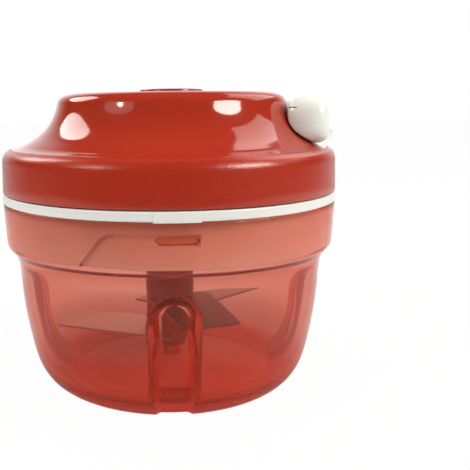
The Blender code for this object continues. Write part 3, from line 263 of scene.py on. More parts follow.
class Finish:
    """The look of one material, or of the studio's surroundings, put together node by node."""

    def __init__(self, name, kind="materials"):
        self.look = getattr(bpy.data, kind).new(name)
        self.look.use_nodes = True
        self.tree = self.look.node_tree
        self.tree.nodes.clear()

    def node(self, kind, settings, values, out=0):
        """Adds a node, and returns the wire from its output, or one from each output in a tuple."""
        made = self.tree.nodes.new("ShaderNode" + kind)
        for name, value in settings.items():
            setattr(made, name, value)
        for name, value in values.items():
            if isinstance(value, Wire):
                self.tree.links.new(value.socket, made.inputs[name])
            else:
                made.inputs[name].default_value = value
        if isinstance(out, tuple):
            return [Wire(self, made.outputs[name]) for name in out]
        return Wire(self, made.outputs[out])

    def place(self, scale=(1, 1, 1), turn=(0, 0, 0)):
        """The piece's own coordinates in metres, turned and stretched for a pattern."""
        where = self.node("TexCoord", {}, {}, "Object")
        return self.node("Mapping", {}, {"Vector": where, "Rotation": turn, "Scale": scale})

    def split(self, vector):
        return self.node("SeparateXYZ", {}, {"Vector": vector}, ("X", "Y", "Z"))

    def cloud(self, vector, scale, detail, roughness=0.5):
        values = {"Vector": vector, "Scale": scale, "Detail": detail, "Roughness": roughness}
        return self.node("TexNoise", {}, values)

    def cells(self, vector, scale, feature="F1"):
        return self.node("TexVoronoi", {"feature": feature}, {"Vector": vector, "Scale": scale}, "Distance")

    def mixed(self, share, first, second):
        return self.node("Mix", {"data_type": "RGBA"}, {0: share, 6: first, 7: second}, 2)

    def rays(self):
        """Whether a ray comes from the lens, off a gloss, and through something clear."""
        return self.node("LightPath", {}, {}, ("Is Camera Ray", "Is Glossy Ray", "Is Transmission Ray"))

    def bump(self, height, depth, strength):
        """Normals for a relief whose height runs from 0 to 1 over a depth in metres."""
        return self.node("Bump", {}, {"Height": height, "Distance": depth, "Strength": strength})

    def plastic(self, **values):
        values = {name.replace("_", " "): value for name, value in values.items()}
        return self.node("BsdfPrincipled", {}, values)

    def ends(self, surface, volume=None, output="OutputMaterial"):
        """Joins the shader to the output, and returns the finished look."""
        values = {"Surface": surface}
        if volume:
            values["Volume"] = volume
        last = self.tree.nodes.new("ShaderNode" + output)
        for name, value in values.items():
            self.tree.links.new(value.socket, last.inputs[name])
        return self.look


def tinted_finish():
    """Clear red plastic with a slight milkiness. Its depth gives the colour, and lamps shine through it. Near
    the bottom, a red diffuse layer paints the light that pools there.
    """
    finish = Finish("tinted_plastic")
    where = finish.place()
    height = finish.split(where)[2]
    flow = finish.cloud(where, 60, 1.0)
    rub = finish.cloud(where, 900, 3.0, 0.6)
    clear = finish.plastic(
        Base_Color=(1.0, 1.0, 1.0, 1.0),
        Roughness=0.02 + 0.03 * rub,
        Transmission_Weight=1.0,
        IOR=1.27,
        Normal=finish.bump(flow, 0.0003, 0.2),
    )
    milky = finish.node("BsdfTranslucent", {}, {"Color": paint(240, 114, 84)})
    chalky = finish.node("BsdfDiffuse", {}, {"Color": paint(218, 112, 88)})
    haze = finish.node("MixShader", {}, {0: 0.5, 1: milky, 2: chalky})
    low = 1 - height.rising(0.008, 0.03)
    # Painted light: a red diffuse colour near the bottom stands in for the red light pooled in the bowl's
    # floor.
    painted_light_pool = finish.node("BsdfDiffuse", {}, {"Color": paint(188, 66, 48)})
    veiled = finish.node("MixShader", {}, {0: 0.11 + 0.03 * flow + 0.04 * low, 1: clear, 2: haze})
    body = finish.node("MixShader", {}, {0: 0.30 * low, 1: veiled, 2: painted_light_pool})
    through = finish.node("BsdfTransparent", {}, {"Color": (0.97, 0.97, 0.97, 1.0)})
    shadow = finish.node("LightPath", {}, {}, "Is Shadow Ray")
    surface = finish.node("MixShader", {}, {0: shadow, 1: body, 2: through})
    seen = finish.node("VolumeAbsorption", {}, {"Color": TINT, "Density": SEEN_DENSITY})
    lit = finish.node("VolumeAbsorption", {}, {"Color": TINT, "Density": LIT_DENSITY})
    return finish.ends(surface, finish.node("MixShader", {}, {0: shadow, 1: seen, 2: lit}))


def red_finish():
    """Red moulding: a fine leather grain on the band, polished above its seam."""
    finish = Finish("red_plastic")
    where = finish.place()
    height = finish.split(where)[2]
    polished = height.rising((SEAM_HEIGHT - SEAM_BLUR) * MM, (SEAM_HEIGHT + SEAM_BLUR) * MM)
    grain = finish.cells(where, 1900, "SMOOTH_F1")
    pores = finish.cloud(where, 3600, 2.0)
    patches = finish.cloud(where, 45, 3.0)
    dust = finish.cloud(where, 700, 4.0, 0.65).rising(0.68, 0.8)
    relief = (1 - polished) * (grain * 0.8 + pores * 0.35)
    satin = finish.mixed(0.4 * patches + 0.6 * pores, paint(146, 32, 12), paint(179, 50, 24))
    gloss = finish.mixed(patches, paint(160, 46, 27), paint(167, 50, 31))
    colour = finish.mixed(polished, satin, gloss)
    roughness = (1 - polished) * (0.19 + 0.08 * pores) + polished * (0.07 + 0.03 * patches + 0.10 * dust)
    return finish.ends(
        finish.plastic(
            Base_Color=colour,
            Roughness=roughness,
            IOR=1.5,
            Normal=finish.bump(relief, 0.00012, 0.6),
        )
    )


def pale_finish(name, first, second, roughness):
    """White moulded plastic with a little yellowing and a soft polish."""
    finish = Finish(name)
    where = finish.place()
    clouds = finish.cloud(where, 55, 3.0)
    specks = finish.cloud(where, 1400, 3.0, 0.6)
    colour = finish.mixed(clouds, first, second)
    return finish.ends(
        finish.plastic(
            Base_Color=colour,
            Roughness=roughness + 0.08 * specks,
            IOR=1.5,
            Normal=finish.bump(specks, 0.00003, 0.3),
        )
    )


def post_finish():
    """Opaque red plastic of the blade post, painted darker than the lid's red to stand for the shade it sits
    in inside the bowl.
    """
    finish = Finish("post_plastic")
    where = finish.place()
    clouds = finish.cloud(where, 80, 3.0)
    specks = finish.cloud(where, 1500, 3.0)
    return finish.ends(
        finish.plastic(
            Base_Color=finish.mixed(clouds, paint(106, 31, 25), paint(122, 38, 30)),
            Roughness=0.28 + 0.12 * specks,
            Normal=finish.bump(specks, 0.00004, 0.4),
        )
    )


def blade_finish(turn, shade_tone):
    """Rolled steel, brushed along the blade, darkened by the tone to paint the shade and dark reflections
    that it gets inside the bowl.
    """
    finish = Finish(f"blade_steel_{turn}")
    along = finish.place((14, 900, 14), (0, 0, radians(-turn)))
    brush = finish.cloud(along, 2.0, 3.0, 0.6)
    smears = finish.cloud(finish.place(), 90, 3.0)
    dark, light = [(*[share * shade_tone for share in colour], 1) for colour in BLADE_STEEL]
    return finish.ends(
        finish.plastic(
            Base_Color=finish.mixed(brush, dark, light),
            Roughness=0.20 + 0.12 * brush + 0.10 * smears,
            Metallic=1.0,
            Normal=finish.bump(brush, 0.00002, 0.5),
        )
    )


def metal_finish(name, dark, light, roughness):
    """Machined metal with fine turning marks."""
    finish = Finish(name)
    rings = finish.cloud(finish.place((40, 40, 2600)), 1.0, 2.0)
    smears = finish.cloud(finish.place(), 160, 3.0)
    return finish.ends(
        finish.plastic(
            Base_Color=finish.mixed(smears, dark, light),
            Roughness=roughness + 0.15 * rings,
            Metallic=1.0,
            Normal=finish.bump(rings, 0.00002, 0.5),
        )
    )


def bronze_finish():
    """Sintered bearing bronze, full of small pores."""
    finish = Finish("bearing_bronze")
    pores = finish.cells(finish.place(), 2200)
    return finish.ends(
        finish.plastic(
            Base_Color=finish.mixed(pores, (0.20, 0.12, 0.05, 1), (0.58, 0.38, 0.18, 1)),
            Roughness=0.38 + 0.2 * pores,
            Metallic=1.0,
            Normal=finish.bump(pores, 0.00006, 0.6),
        )
    )


def silicone_finish():
    """Milky silicone with a dusty surface."""
    finish = Finish("silicone")
    dust = finish.cloud(finish.place(), 1100, 4.0, 0.65)
    return finish.ends(
        finish.plastic(
            Base_Color=finish.mixed(dust, (0.66, 0.66, 0.64, 1), (0.76, 0.76, 0.74, 1)),
            Roughness=0.5 + 0.2 * dust,
            Normal=finish.bump(dust, 0.00003, 0.4),
        )
    )


def cord_finish():
    """White braid: two sets of strands that cross on their way round the cord."""
    finish = Finish("cord")
    x, y, z = finish.split(finish.place())
    turn = (z - CORD_HEIGHT * MM).turn_of(y)
    one = (x * 4200 + turn * 4).wave()
    other = (x * 4200 - turn * 4).wave()
    braid = (one.larger(other) + 1) * 0.5
    fibres = finish.cloud(finish.place(), 3500, 3.0)
    relief = braid * 0.8 + fibres * 0.2
    return finish.ends(
        finish.plastic(
            Base_Color=finish.mixed(relief, paint(176, 172, 160), paint(232, 230, 222)),
            Roughness=0.9 - 0.15 * braid,
            Normal=finish.bump(relief, 0.00012, 0.8),
        )
    )


def floor_finish():
    """White floor, at full white to the lens, that keeps the object's shadow.

    Seen through the bowl it is dim where the bowl stands, and the front half far away is dull in gloss.
    """
    finish = Finish("studio_floor")
    x, y = finish.split(finish.place())[:2]
    distance = x.reach(y)
    open_floor = distance.rising(0.03, 0.07)
    dim = distance.rising(0.42, 0.62) * (1 - y.rising(0.1, 0.8))
    camera, glossy, through = finish.rays()
    seen = (camera * 0.965).larger(through * open_floor * 0.85)
    lit = finish.node("BsdfDiffuse", {}, {"Color": (0.82, 0.82, 0.81, 1)})
    dull = finish.node("BsdfDiffuse", {}, {"Color": (0.16, 0.16, 0.16, 1)})
    sheet = finish.node("MixShader", {}, {0: glossy * (1 - through) * dim, 1: lit, 2: dull})
    bright = finish.node("Emission", {}, {"Color": (1, 1, 1, 1), "Strength": 1.0})
    return finish.ends(finish.node("MixShader", {}, {0: seen, 1: sheet, 2: bright}))


def studio_finish():
    """White behind the object and dim towards the lens: its edges shine and its front keeps its colour."""
    finish = Finish("studio", "worlds")
    y, z = finish.split(finish.node("TexCoord", {}, {}, "Generated"))[1:]
    behind = y.rising(0.52, 1.0) * (1 - z.rising(0.5, 0.72))
    camera, glossy, through = finish.rays()
    strength = 0.56 + glossy * (behind * 1.3 - 0.53) + camera.larger(through) * 0.44
    light = finish.node("Background", {}, {"Color": (1, 1, 1, 1), "Strength": strength})
    return finish.ends(light, output="OutputWorld")


def named(name):
    """The object that an operator has just added, under a name of its own."""
    piece = bpy.context.object
    piece.name = name
    piece.data.name = name
    return piece


def edit(piece):
    """Enters edit mode with all of the piece selected."""
    bpy.ops.object.select_all(action="DESELECT")
    piece.select_set(True)
    bpy.context.view_layer.objects.active = piece
    bpy.ops.object.mode_set(mode="EDIT")
    bpy.ops.mesh.select_all(action="SELECT")


def leave():
    """Turns the normals outward and leaves edit mode."""
    bpy.ops.mesh.select_all(action="SELECT")
    bpy.ops.mesh.normals_make_consistent(inside=False)
    bpy.ops.object.mode_set(mode="OBJECT")


def pick(piece, test):
    """Selects, in edit mode, the points that pass the test, with the edges and faces between them."""
    mesh = bmesh.from_edit_mesh(piece.data)
    for point in mesh.verts:
        point.select = test(point.co / MM)
    mesh.select_flush_mode()
    for item in list(mesh.edges) + list(mesh.faces):
        item.select = all(point.select for point in item.verts)
    bmesh.update_edit_mesh(piece.data)


def spline(t, a, b, c, d):
    """The value at a share t of the way from b to c, on a smooth curve through a, b, c and d."""
    bend = 2 * a - 5 * b + 4 * c - d
    twist = 3 * b - a - 3 * c + d
    return b + (c - a) * t / 2 + bend * t * t / 2 + twist * t**3 / 2


def curved(points, steps):
    """Points on a smooth curve through the given ones, with so many steps from each to the next."""
    spread = [points[0], *points, points[-1]]
    line = []
    for four in zip(spread, spread[1:], spread[2:], spread[3:]):
        for i in range(steps):
            line.append(tuple(spline(i / steps, *values) for values in zip(*four)))
    return line + [tuple(points[-1])]


def eased(corners, steps=4):
    """The closed line through corners of (distance, height, run), each rounded over its run."""
    line = []
    for i, (distance, height, run) in enumerate(corners):
        here = Vector((distance, height))
        if not run:
            line.append(tuple(here))
            continue
        before = here + (Vector(corners[i - 1][:2]) - here).normalized() * run
        after = here + (Vector(corners[(i + 1) % len(corners)][:2]) - here).normalized() * run
        for j in range(steps + 1):
            t = j / steps
            line.append(tuple(before * (1 - t) ** 2 + here * 2 * t * (1 - t) + after * t * t))
    return line


def between(table, at):
    """The value at a place in a table of (place, value), straight between its entries."""
    for (low, first), (high, second) in zip(table, table[1:]):
        if at <= high:
            return first + (second - first) * min(max((at - low) / (high - low), 0), 1)
    return table[-1][1]


def ease(share):
    """0 up to 0, 1 from 1 on, and smooth between them."""
    share = min(max(share, 0), 1)
    return share * share * (3 - 2 * share)


def raised(rise):
    """Extrudes the selected edges upward."""
    bpy.ops.mesh.extrude_edges_move(TRANSFORM_OT_translate={"value": (0, 0, rise)})


def turned(name, line, sides=SIDES, at=(0, 0)):
    """Extrudes a circle from one ring of the line to the next.

    A line that starts and ends on the axis closes there, and any other closes on itself.
    """
    rings = [point for point in line if point[0]]
    distance, height = rings[0]
    bpy.ops.object.select_all(action="DESELECT")
    bpy.ops.mesh.primitive_circle_add(vertices=sides, radius=distance * MM, location=(0, 0, height * MM))
    bpy.ops.object.transform_apply(location=True, rotation=True, scale=True)
    piece = named(name)
    edit(piece)
    for wide, high in rings[1:]:
        raised((high - height) * MM)
        share = wide / distance
        bpy.ops.transform.resize(value=(share, share, 1), center_override=(0, 0, high * MM))
        distance, height = wide, high
    if line[-1][0]:
        bpy.ops.mesh.select_non_manifold(extend=False)
        bpy.ops.mesh.bridge_edge_loops()
    else:
        raised((line[-1][1] - height) * MM)
        bpy.ops.mesh.merge(type="CENTER")
        bpy.ops.mesh.select_non_manifold(extend=False)
        raised((line[0][1] - rings[0][1]) * MM)
        bpy.ops.mesh.merge(type="CENTER")
    bpy.ops.mesh.select_all(action="SELECT")
    bpy.ops.transform.translate(value=(at[0] * MM, at[1] * MM, 0))
    leave()
    return piece


def slab(name, outline, low, high):
    """A filled circle whose points are set out along the outline, extruded from one height to the other."""
    bpy.ops.object.select_all(action="DESELECT")
    bpy.ops.mesh.primitive_circle_add(vertices=len(outline), radius=1, fill_type="NGON")
    piece = named(name)
    for point, (x, y) in zip(piece.data.vertices, outline):
        point.co = (x * MM, y * MM, low * MM)
    edit(piece)
    bpy.ops.mesh.extrude_region_move(TRANSFORM_OT_translate={"value": (0, 0, (high - low) * MM)})
    leave()
    return piece


def rod(name, radius, start, end, height):
    """A round bar along X, from one distance to the other."""
    bpy.ops.object.select_all(action="DESELECT")
    bpy.ops.mesh.primitive_cylinder_add(
        vertices=ROUND_SIDES,
        radius=radius * MM,
        depth=(end - start) * MM,
        location=((start + end) / 2 * MM, 0, height * MM),
        rotation=(0, pi / 2, 0),
    )
    bpy.ops.object.transform_apply(location=True, rotation=True, scale=True)
    return named(name)


def apply(piece, kind, **settings):
    """Adds a modifier to the piece and applies it."""
    step = piece.modifiers.new(kind.title(), kind)
    for name, value in settings.items():
        setattr(step, name, value)
    bpy.context.view_layer.objects.active = piece
    bpy.ops.object.modifier_apply(modifier=step.name)


def carve(piece, tool, operation="DIFFERENCE"):
    """Cuts the tool from the piece, or joins it to it, and clears the tool away."""
    apply(piece, "BOOLEAN", object=tool, operation=operation, solver="EXACT")
    bpy.data.objects.remove(tool)


def softened(piece, width, segments):
    """Rounds the piece's sharp edges."""
    settings = {"limit_method": "ANGLE", "angle_limit": BEVEL_ANGLE}
    apply(piece, "BEVEL", width=width * MM, segments=segments, **settings)


def dressed(piece, look, crease=30):
    """Gives a finished piece its material and its shading."""
    bpy.ops.object.select_all(action="DESELECT")
    piece.select_set(True)
    bpy.context.view_layer.objects.active = piece
    bpy.ops.object.shade_smooth_by_angle(angle=radians(crease))
    piece.data.materials.clear()
    piece.data.materials.append(look)
    return piece


def stands_for(piece, body, *cad_nodes):
    """Puts a piece on its body, in the place of the CAD nodes."""
    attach(piece, body)
    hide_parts(*cad_nodes)


# Camera
bpy.ops.object.select_all(action="DESELECT")
bpy.ops.object.camera_add(location=[length * MM for length in CAMERA_PLACE])
camera = named("camera")
lean = Matrix.Rotation(CAMERA_PITCH, 4, "X") @ Matrix.Rotation(CAMERA_ROLL, 4, "Y")
camera.rotation_euler = (lean @ Matrix.Rotation(pi / 2, 4, "X")).to_euler()
camera.data.lens = CAMERA_LENS
camera.data.sensor_width = CAMERA_SENSOR
camera.data.shift_x = CAMERA_SHIFT
camera.data.clip_start = CAMERA_NEAR
bpy.context.scene.camera = camera

# Finishes
tinted = tinted_finish()
red = red_finish()
pale = pale_finish("pale_plastic", paint(219, 222, 216), paint(225, 227, 222), 0.28)
ivory = pale_finish("pale_gloss", paint(224, 231, 223), paint(231, 238, 232), 0.10)
shaded_post_red = post_finish()
steel = metal_finish("turned_steel", (0.50, 0.50, 0.51, 1), (0.66, 0.66, 0.67, 1), 0.22)
dark_steel = metal_finish("hardened_steel", (0.16, 0.16, 0.17, 1), (0.30, 0.30, 0.32, 1), 0.30)
bronze = bronze_finish()
silicone = silicone_finish()
braid = cord_finish()

# The grooves' floor and the bulges' face as fine lines
groove_line = curved(GROOVE_FLOOR, steps=3)
bulge_line = curved(BULGE_FACE, steps=3)


def arch_reach(along, height, top, half):
    """How far a point of the wall lies from the middle of an arched groove."""
    centre = top - half
    return abs(along) if height < centre else hypot(along, height - centre)


def turn_from(middle, turn):
    """The angle from the middle to a turn, the short way round."""
    return (turn - middle + pi) % tau - pi


def wall_place(turn, distance, height, side):
    """Where a point of the plain wall goes once the grooves, bulges and lugs are pressed into it."""
    for groove in GROOVE_TURNS:
        off = turn_from(groove, turn)
        if side == "outside":
            reach = arch_reach(off * distance, height, GROOVE_TOP, GROOVE_EDGES[1])
            share = 1 - ease((reach - GROOVE_EDGES[0]) / (GROOVE_EDGES[1] - GROOVE_EDGES[0]))
            distance -= share * (distance - between(groove_line, height))
        elif side == "inside" and height < BULGE_TOP + 1:
            reach = arch_reach(off * distance, height, BULGE_TOP, BULGE_EDGES[1])
            share = 1 - ease((reach - BULGE_EDGES[0]) / (BULGE_EDGES[1] - BULGE_EDGES[0]))
            distance -= share * max(distance - between(bulge_line, height), 0)
    if side == "inside" and height > COLLAR_START:
        low, high = LUG_HEIGHTS
        middle = (low + high) / 2
        for lug in LUG_TURNS:
            off = turn_from(lug, turn)
            half = (high - low) / 2
            along = max(abs(off * distance) - LUG_HALF + half, 0)
            reach = hypot(along, height - middle)
            distance -= LUG_DEPTH * (1 - ease((reach - half + LUG_EASE) / LUG_EASE))
    return distance


def close_rows(line, low, high, first, step, count):
    """The line with rows close together between two heights, in the place of its own."""
    table = sorted((height, distance) for distance, height in line)
    heights = [first - step * i for i in range(count)]
    kept = [point for point in line if not low < point[1] < high]
    return kept + [(between(table, height), height) for height in heights]


def bowl_columns():
    """The grid's turns round the axis, close together at the grooves and lugs."""
    dense = [(groove, *GROOVE_COLUMNS) for groove in GROOVE_TURNS]
    dense += [(lug, *LUG_COLUMNS) for lug in LUG_TURNS]
    columns = []
    turn = -pi
    while turn < COLUMNS_END:
        columns.append(turn)
        steps = [step for middle, half, step in dense if abs(turn_from(middle, turn)) < half]
        turn += min(steps, default=COLUMN_STEP)
    return columns


def bowl_rows():
    """The grid's rows as (distance, height, side), from the floor's middle up, over the brim and down."""
    floor = [(0, 9.0), (1.75, 9.0), (1.75, 12.2), (1.95, 12.5), (3.1, 12.5), (3.4, 12.2), (3.4, 8.7)]
    floor += [(4.0, 8.0)]
    floor += [(float(d), 8.0) for d in range(8, FLAT_FLOOR, 5)]
    floor += [(FLAT_FLOOR + 0.9 * i, 8.0) for i in range(10)]
    inner = [(63.0, 74.1), (62.55, 74.05), (62.3, 73.9)]
    inner += close_rows(curved(WALL_INSIDE, steps=3), *LUG_ROWS)
    inner = close_rows(inner, *BULGE_ROWS)
    inner.sort(key=lambda point: point[1])
    outer = [(64.30, 74.1), (64.62, 74.02), (64.82, 73.8)] + curved(WALL_OUTSIDE, steps=3)
    outer = close_rows(outer, *GROOVE_ROWS)
    outer.sort(key=lambda point: (-point[1], point[0]))
    under = [(42.6, 0.0), (41.0, 0.0), (40.5, 0.3), (40.3, 0.8), (40.3, 5.1), (39.8, 5.6), (20.0, 5.6)]
    under += [(0, 5.6)]
    sides = {"floor": floor, "inside": inner, "outside": outer, "under": under}
    return [(distance, height, side) for side, line in sides.items() for distance, height in line]


def bowl():
    """A grid wrapped round the axis, with the grooves, bulges and lugs pressed into it."""
    columns = bowl_columns()
    rows = bowl_rows()
    bpy.ops.object.select_all(action="DESELECT")
    bpy.ops.mesh.primitive_grid_add(x_subdivisions=len(columns), y_subdivisions=len(rows) - 1, size=1)
    piece = named("tinted_bowl")
    columns.append(columns[0] + tau)
    for point in piece.data.vertices:
        turn = columns[round((point.co.x + 0.5) * (len(columns) - 1))]
        distance, height, side = rows[round((point.co.y + 0.5) * (len(rows) - 1))]
        if side in ("inside", "outside"):
            distance = wall_place(turn, distance, height, side)
        elif side == "floor" and distance > FLAT_FLOOR:
            edge = wall_place(turn, *WALL_INSIDE[-1], "inside")
            plain = WALL_INSIDE[-1][0] - FLAT_FLOOR
            distance = FLAT_FLOOR + (distance - FLAT_FLOOR) * (edge - FLAT_FLOOR) / plain
        elif side == "under" and height < 1:
            edge = wall_place(turn, *WALL_OUTSIDE[-1], "outside")
            distance = min(distance, edge - FOOT_EASE)
        point.co = (distance * cos(turn) * MM, distance * sin(turn) * MM, height * MM)
    edit(piece)
    bpy.ops.mesh.remove_doubles(threshold=0.000001)
    leave()
    return dressed(piece, tinted, crease=40)


stands_for(bowl(), "bowl", "chopping_bowl")


def shifted(piece):
    """Moves the dome a little to the right, more with height, and leaves the band where it is."""
    low, high = DOME_SHIFT_HEIGHTS
    for point in piece.data.vertices:
        share = (point.co.z / MM - low) / (high - low)
        point.co.x += DOME_SHIFT * MM * min(max(share, 0), 1)


def cover():
    """The red lid: a grained band with a soft shoulder, a seam, and the polished dome."""
    band = [(64.3, 77.8), (64.75, 77.95), (64.9, 78.3), (64.82, 81.5), (64.72, 85.0), (64.6, 88.0)]
    seam = [(61.7, 93.78), (61.55, 93.55), (61.4, 93.6), (61.3, 93.85)]
    outside = band + curved(BAND_SHOULDER, steps=4)[1:] + seam
    outside += curved(DOME_LINE, steps=4) + [(4.0, 115.1)]
    inside = [(62.5, 77.8), (62.4, 88.0), (61.2, 91.0), (59.5, 92.0), (54.5, 93.6), (50.0, 97.0)]
    inside += [(46.6, 100.5), (44.2, 104.0), (42.6, 108.0), (41.5, 110.0), (39.4, 111.7), (36.0, 112.1)]
    inside += [(20.0, 112.4)]
    line = [(0, 115.1)] + list(reversed(outside)) + inside + [(0, 112.7)]
    piece = turned("red_cover", line)
    shifted(piece)
    carve(piece, rod("eyelet_hole", *EYELET_HOLE, CORD_HEIGHT))
    return dressed(piece, red)


stands_for(cover(), "lid", "cover")


def cap():
    """The bare disc on the middle of the dome."""
    line = [(0, 116.1), (9.0, 116.08), (11.0, 116.02), (11.9, 115.92), (12.35, 115.72), (12.5, 115.4)]
    line += [(12.5, 115.15), (2.5, 115.15), (2.5, 111.3), (0, 111.3)]
    piece = turned("cover_disc", line, sides=120, at=(DOME_SHIFT, 0))
    return dressed(piece, red)


stands_for(cap(), "lid", "centre_cap")


def housing():
    """The pale half of the lid: white ring, skirt with bayonet tracks, bottom plate and screw pillars."""
    corners = (
        (57.6, 77.5, 0.3), (65.0, 77.5, 0.55), (65.0, 74.2, 0.4), (64.2, 74.2, 0), (64.2, 75.6, 0),
        (62.0, 75.6, 0), (62.0, 74.4, 0), (61.6, 74.4, 0), (61.6, 58.0, 0.5), (6.0, 58.0, 0.2),
        (6.0, 72.0, 0.2), (9.0, 72.0, 0.4), (9.0, 60.0, 0.8), (57.6, 60.0, 0.8),
    )
    pillar = eased(((0, 59, 0), (4.5, 59, 0), (4.5, 83.7, 0.3), (0, 83.7, 0)))
    hole = ((0, 57.9), (3.0, 57.9), (3.0, 76.0), (1.8, 76.0), (1.8, 84.0), (0, 84.0))
    piece = turned("lid_housing", eased(corners))
    for turn in PILLAR_TURNS:
        place = (PILLAR_CIRCLE * cos(turn), PILLAR_CIRCLE * sin(turn))
        carve(piece, turned("pillar", pillar, ROUND_SIDES, place), "UNION")
        carve(piece, turned("pillar_hole", hole, ROUND_SIDES, place))
    for lug in LUG_TURNS:
        carve(piece, track(lug))
    return dressed(piece, pale)


def track(lug):
    """What a bayonet track takes from the skirt: a ring cut to the track's outline as seen from outside."""
    outline = slab("track_outline", eased(TRACK_OUTLINE, steps=8), *TRACK_REACH)
    edit(outline)
    bpy.ops.transform.rotate(value=-pi / 2, orient_axis="X", center_override=(0, 0, 0))
    bpy.ops.transform.rotate(value=-lug - pi / 2, orient_axis="Z", center_override=(0, 0, 0))
    leave()
    ring = turned("track", TRACK_RING)
    carve(ring, outline, "INTERSECT")
    return ring


stands_for(housing(), "lid", "housing")


def tab():
    """The small tab on the front of the white ring."""
    front, back = TAB_FACES
    half = asin(TAB_HALF_WIDTH / front)
    turns = [LUG_TURNS[0] + half * (i / TAB_STEPS - 1) for i in range(2 * TAB_STEPS + 1)]
    outline = [(front * cos(turn), front * sin(turn)) for turn in turns]
    outline += [(back * cos(turn), back * sin(turn)) for turn in reversed(turns)]
    piece = slab("ring_tab", outline, *TAB_HEIGHTS)
    softened(piece, *TAB_ROUNDING)
    return dressed(piece, pale)


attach(tab(), "lid")


def handle():
    """The pull handle: its section is extruded round the lid, from one rounded end to the other."""
    section = curved(HANDLE_SECTION + HANDLE_SECTION[:1], steps=2)[:-1]
    centre = Vector((HANDLE_SEAT[0], 0, HANDLE_SEAT[1]))
    angles = [pi / 2 * i / HANDLE_END_STEPS for i in range(1, HANDLE_END_STEPS + 1)]
    stations = [(-1 + HANDLE_END * (1 - cos(angle)), sin(angle) ** HANDLE_END_ROUNDNESS) for angle in angles]
    stations += [((1 - HANDLE_END) * (i / HANDLE_STEPS - 1), 1.0) for i in range(1, 2 * HANDLE_STEPS)]
    stations += [(-place, share) for place, share in reversed(stations[:HANDLE_END_STEPS])]
    bpy.ops.object.select_all(action="DESELECT")
    bpy.ops.mesh.primitive_circle_add(vertices=len(section), radius=1)
    piece = named("pull_handle")
    place, share = stations[0]
    turn = Matrix.Rotation(HANDLE_HALF_TURN * place, 3, "Z")
    for point, (distance, height) in zip(piece.data.vertices, section):
        point.co = turn @ (centre + (Vector((distance, 0, height)) - centre) * share) * MM
    edit(piece)
    for after, swell in stations[1:]:
        turn = HANDLE_HALF_TURN * (after - place)
        bpy.ops.mesh.extrude_edges_move()
        bpy.ops.transform.rotate(value=-turn, orient_axis="Z", center_override=(0, 0, 0))
        middle = Matrix.Rotation(HANDLE_HALF_TURN * after, 3, "Z") @ centre * MM
        bpy.ops.transform.resize(value=[swell / share] * 3, center_override=middle)
        place, share = after, swell
    bpy.ops.mesh.select_non_manifold(extend=False)
    bpy.ops.mesh.edge_face_add()
    bpy.ops.mesh.poke()
    leave()
    apply(piece, "SUBSURF", levels=1, render_levels=1)
    carve(piece, rod("cord_hole", *CORD_HOLE, CORD_HEIGHT))
    carve(piece, rod("knot_pocket", *KNOT_POCKET, CORD_HEIGHT))
    carve(piece, slab("parting_slit", PARTING_SLIT, *PARTING_SLIT_HEIGHTS))
    return dressed(piece, ivory, crease=40)


stands_for(handle(), "handle", "handle_grip")


def post():
    """The blade post, with its socket for the drive shaft and the bearing for its pin."""
    corners = (
        (0, 46.0, 0), (5.7, 46.0, 0), (5.7, 55.5, 0.4), (9.6, 55.5, 0.8), (9.6, 16.7, 0.8), (6.5, 14.2, 0.3),
        (6.5, 12.8, 0.3), (1.8, 12.8, 0.1), (1.8, 18.2, 0), (0, 18.2, 0),
    )
    return dressed(turned("hub_post", eased(corners), sides=96), shaded_post_red)


stands_for(post(), "rotor", "blade_post")


def blade(name, turn, height, shade_tone):
    """A flat blade with rounded corners, ground to an edge on its leading side."""
    piece = slab(name + "_steel", BLADE_OUTLINE, height - BLADE_HALF_THICKNESS, height + BLADE_HALF_THICKNESS)
    edit(piece)
    start = Vector(BLADE_OUTLINE[0])
    end = Vector(BLADE_OUTLINE[-1])
    run = (end - start).normalized()
    across = Vector((-run.y, run.x))
    line = start - across * BLADE_GRIND
    bpy.ops.mesh.bisect(plane_co=(line.x * MM, line.y * MM, 0), plane_no=(across.x, across.y, 0))
    pick(piece, lambda point: point.z > height and (point.xy - line).dot(across) > 0.1)
    bpy.ops.transform.translate(value=(0, 0, -BLADE_GRIND_DROP * MM))
    bpy.ops.mesh.select_all(action="SELECT")
    bpy.ops.transform.rotate(value=-radians(turn), orient_axis="Z", center_override=(0, 0, 0))
    leave()
    softened(piece, *BLADE_ROUNDING)
    return dressed(piece, blade_finish(turn, shade_tone), crease=12)


for node, (turn, height, shade_tone) in BLADES.items():
    stands_for(blade(node, turn, height, shade_tone), "rotor", node)


def tube(name, route, radius):
    """A round cord along a route: a curve with a round bevel, made a mesh."""
    bpy.ops.object.select_all(action="DESELECT")
    bpy.ops.curve.primitive_nurbs_path_add()
    piece = named(name)
    line = piece.data.splines[0]
    line.points.add(len(route) - len(line.points))
    for point, place in zip(line.points, route):
        point.co = (*[length * MM for length in place], 1)
    line.order_u = 3
    line.use_endpoint_u = True
    piece.data.resolution_u = 3
    piece.data.bevel_depth = radius * MM
    piece.data.bevel_resolution = CORD_SIDES // 4
    piece.data.use_fill_caps = True
    bpy.ops.object.convert(target="MESH")
    return piece


def winding():
    """The cord that is wound on the drum."""
    route = []
    for i in range(WOUND_STEPS + 1):
        turn = WOUND_START - tau * WOUND_TURNS * i / WOUND_STEPS
        height = CORD_HEIGHT - WOUND_DROP * i / WOUND_STEPS
        route.append((WOUND_RADIUS * cos(turn), WOUND_RADIUS * sin(turn), height))
    return dressed(tube("wound_cord", route, CORD_RADIUS), braid)


stands_for(winding(), "reel", "cord_winding")


